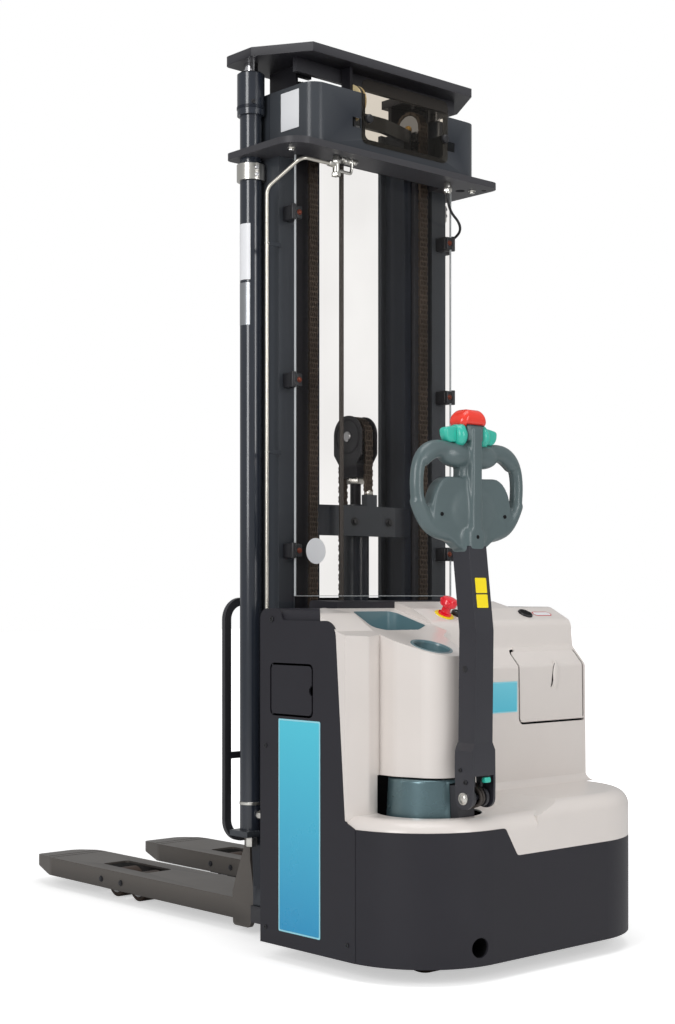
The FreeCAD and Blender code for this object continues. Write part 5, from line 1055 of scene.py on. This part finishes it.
shapes.append(label((0.322, 0.468), (0.073, 0.566), lambda d, z: on_side(d, z, 0.0001),
                    (0, 0.0003, 0), 0.004, "sticker_edge"))
shapes.append(label((0.326, 0.464), (0.077, 0.562), lambda d, z: on_side(d, z, 0.0003),
                    (0, 0.0003, 0), 0.003, "sticker"))
RIGHT_FACE = 0.2541         # rear face of the cover's right part
shapes.append(label((0.074, -0.1635), (0.564, 0.640), lambda y, z: at(RIGHT_FACE, y, z),
                    (-0.0006, 0, 0), 0.003, "sticker_edge"))
shapes.append(label((0.071, -0.1605), (0.567, 0.637), lambda y, z: at(RIGHT_FACE - 0.0004, y, z),
                    (-0.0005, 0, 0), 0.002, "sticker_small"))
piece("blank_stickers", "truck", shapes)

SIGN_R, SIGN_T = 0.032, 0.0005              # radius and thickness of the round sign
shapes = [(lathe([(0, SIGN_T), (SIGN_R, SIGN_T), (SIGN_R, 0.0001), (0, 0.0001)],
                 (shield_low[0], 0.207, 0.961), (-1, 0, 0)), "white")]
piece("blank_round_sign", "truck", shapes)

# ------------------------------------------------------------------ tray, cup and panel trim
DECK_SLOPE = 0.30           # rise of the left deck for each metre ahead


def on_deck(d, y, proud=0.0):
    """Point on the sloping left deck."""
    return at(d, y, 0.772 + (d - 0.270) * DECK_SLOPE + proud)


CUP_D, CUP_Y, CUP_R = 0.150, 0.242, 0.044
deck_up = Vector((-DECK_SLOPE, 0, 1)).normalized()
shapes = []
cup_top = on_deck(CUP_D, CUP_Y)
lip = lathe([(CUP_R - 0.0035, -0.004), (CUP_R - 0.002, 0.0008), (CUP_R, 0.0016), (CUP_R + 0.0035, 0.0010),
             (CUP_R + 0.0045, -0.0008)], (0, 0, 0), (0, 0, 1), steps=64)
shear = Matrix.Identity(4)
shear[2][0] = DECK_SLOPE
lip.transform(Matrix.Translation(cup_top) @ shear)
shapes.append((lip, "slate"))
tray = [(0.412, 0.245), (0.412, 0.112), (0.310, 0.108), (0.268, 0.165), (0.268, 0.300)]
shapes.append((border([on_deck(d + n * 0.004 * s, y + m * 0.004, -0.0006) for (d, y), n, s, m in
                       zip(tray, (1, 1, 0, 1, 1), (1, 1, 1, -1, -1), (1, -1, -1, -0.6, 1))],
                      0.007, deck_up * 0.0020, corner=0.024), "slate"))
piece("tray_and_cup_rims", "truck", shapes)

shapes = []
ear = at(0.492, SIDE_Y, 0.796)
shapes += socket_screw(ear, (0, 1, 0), 0.0065, 0.003, "black")
for d, z in ((0.232, 0.075), (0.515, 0.075), (0.515, 0.500)):
    for side in (-1, 1):
        shapes += socket_screw(at(d, side * SIDE_Y, z), (0, side, 0), 0.0055, 0.0022, "black")
JACK_Y, JACK_Z = 0.238, 0.079               # middle of the hole for the charging socket
socket_axis = Vector((-1, 0.19, 0)).normalized()
# the socket's inside is near-black: partly its black plastic, partly painted shade
shapes.append((lathe([(0, -0.060), (0.0240, -0.060), (0.0262, 0), (0.0248, 0), (0.0226, -0.0585),
                      (0, -0.0585)], at(0.0090, JACK_Y, JACK_Z), socket_axis), "hole_shade_and_dial"))
piece("panel_screws_and_jack_socket", "truck", shapes)

# ------------------------------------------------------------------ rear lid
lid_low, lid_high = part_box("rear_lid")
shapes = []
seam = [(0.2868, 0.706), (0.2928, 0.722), (0.2965, 0.722), (0.2906, 0.706)]
shapes.append((plate([at(d, lid_low[1] + 0.002, z) for d, z in seam],
                     (0, lid_high[1] - lid_low[1] - 0.018, 0)), "cover"))
grip = at(0.2560, -0.309, 0.650)
shapes.append((ball(grip, (0.0055, 0.013, 0.038), 4), "cover"))
# flat near-black plate on the lid paints the shade inside the finger slit
slit = [(-0.3035, 0.682), (-0.2985, 0.672), (-0.2965, 0.655), (-0.2935, 0.634), (-0.2895, 0.620),
        (-0.2945, 0.626), (-0.2990, 0.640), (-0.3020, 0.658)]
shapes.append((plate([at(0.2540, y, z) for y, z in slit], (-0.0008, 0, 0)), "hole_shade_and_dial"))
piece("rear_lid_grip", "lid", shapes)

# the cover's solid is open between its left tower and its right wall: this wall closes that slot
STEP_LOW, STEP_HIGH = 0.0755, 0.0865        # right and left faces of that wall
step_profile = [(0.2505, 0.535), (0.2505, 0.764), (0.3020, 0.7795), (0.3065, 0.7795), (0.3050, 0.760),
                (0.3030, 0.740), (0.2810, 0.700), (0.2590, 0.660), (0.2580, 0.535)]
piece("cover_step_wall", "truck", [(plate([at(d, STEP_LOW, z) for d, z in step_profile],
                                          (0, STEP_HIGH - STEP_LOW, 0)), "cover")])

# ------------------------------------------------------------------ running gear
wheel_low, wheel_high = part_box("drive_wheel")
hub = (Vector(wheel_low) + Vector(wheel_high)) / 2
right_face = wheel_low[1]
WHEEL_BOLTS, WHEEL_BOLT_R = 5, 0.044        # bolts of the drive wheel and their circle
BEARING_BOLTS, BEARING_BOLT_R, BEARING_TOP = 8, 0.092, 0.260
COVER_BOLTS, COVER_BOLT_R, COVER_FACE = 6, 0.034, 0.0685
shapes = [(lathe([(0, -0.001), (0.026, -0.001), (0.030, -0.004), (0.030, -0.012), (0.060, -0.0125),
                  (0.0615, -0.0115), (0.0615, -0.0135), (0, -0.0135)], (hub[0], right_face, hub[2]),
                 (0, -1, 0)), "motor")]
for n in range(WHEEL_BOLTS):
    angle = 2 * PI * n / WHEEL_BOLTS
    spot = Vector((hub[0] + WHEEL_BOLT_R * math.cos(angle), right_face + 0.012,
                   hub[2] + WHEEL_BOLT_R * math.sin(angle)))
    shapes += hex_bolt(spot, (0, -1, 0), 0.014, 0.007)
piece("drive_wheel_hub", "drive_wheel", shapes)

STEER = Vector((hub[0], hub[1], 0))
shapes = []
for n in range(BEARING_BOLTS):
    angle = 2 * PI * (n + 0.5) / BEARING_BOLTS
    spot = STEER + Vector((BEARING_BOLT_R * math.cos(angle), BEARING_BOLT_R * math.sin(angle), BEARING_TOP))
    shapes += hex_bolt(spot, (0, 0, 1), 0.013, 0.008, "steel")
for n in range(COVER_BOLTS):
    angle = 2 * PI * n / COVER_BOLTS
    shapes += hex_bolt((hub[0] + COVER_BOLT_R * math.cos(angle), hub[1] + COVER_FACE,
                        hub[2] + 0.010 + COVER_BOLT_R * math.sin(angle)),
                       (0, 1, 0), 0.010, 0.005)
piece("drive_unit_bolts", "steering", shapes)

castor_low, castor_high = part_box("castor_wheels")
castor = (Vector(castor_low) + Vector(castor_high)) / 2
shapes = []
for side in (-1, 1):
    shapes.append((lathe([(0.0085, 0.0004), (0.018, 0.0004), (0.022, -0.0004), (0.036, 0.0006),
                          (0.038, 0.0014), (0.042, 0.0010), (0.043, -0.0006)],
                         (castor[0], castor[1] + side * (castor_high[1] - castor[1]), castor[2]),
                         (0, side, 0)), "nylon"))
piece("castor_wheel_discs", "castor_wheels", shapes)
FORK_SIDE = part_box("castor_fork")[1][1]     # outer face of the castor fork
shapes = []
for side in (-1, 1):
    face = castor[1] + side * (FORK_SIDE - castor[1])
    shapes += hex_bolt((castor[0], face - side * 0.0032, castor[2]), (0, side, 0), 0.017, 0.008)
piece("castor_axle_nuts", "castor", shapes)

for name in ("left_rear", "left_front", "right_rear", "right_front"):
    low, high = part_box("load_wheel_" + name)
    centre = (Vector(low) + Vector(high)) / 2
    shapes = []
    for side in (-1, 1):
        face = centre + Vector((0, side * (high[1] - low[1]) / 2, 0))
        shapes.append((lathe([(0.0085, 0.0008), (0.016, 0.0008), (0.020, 0.0002), (0.026, 0.0012),
                              (0.028, 0.0006), (0.0285, -0.0006)], face, (0, side, 0), steps=32), "steel"))
    piece("load_wheel_hub_" + name, "wheel_" + name, shapes)

# ------------------------------------------------------------------ forks, carriage and backrest
FORK_TOP = 0.087            # height of the load face of the forks
shapes = []
for node in ("fork_left", "fork_right"):
    low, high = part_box(node)
    middle = (low[1] + high[1]) / 2
    half = (high[1] - low[1]) / 2
    tip = high[0]
    # thin near-black strips across the fork top paint the shade inside two grooves
    for back, inset in ((0.128, 0.0015), (0.100, 0.004)):
        shapes.append((block((tip - back - 0.0008, middle - half + inset + 0.004, FORK_TOP - 0.0004),
                             (tip - back + 0.0008, middle + half - inset - 0.004, FORK_TOP + 0.0003),
                             0.0001, 1), "hole_shade_and_dial"))
    for x in (tip - 0.480, tip - 0.385):
        for side in (-1, 1):
            shapes += hex_bolt((x, middle + side * half, 0.058), (0, side, 0), 0.011, 0.004, "dark")
    weld = [Vector((low[0] + 0.049, y, z)) for y, z in
            ((middle - half + 0.012, 0.1175), (middle, 0.1182), (middle + half - 0.012, 0.1175))]
    shapes.append((cable(weld, 0.0035), "fork"))
REST_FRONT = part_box("load_backrest")[1][0]  # front face of the backrest
for side in (-1, 1):
    for z in (0.300, 0.495):
        shapes += hex_bolt((REST_FRONT, side * 0.118, z), (1, 0, 0), 0.013, 0.006, "black")
piece("carriage_trim", "carriage", shapes)
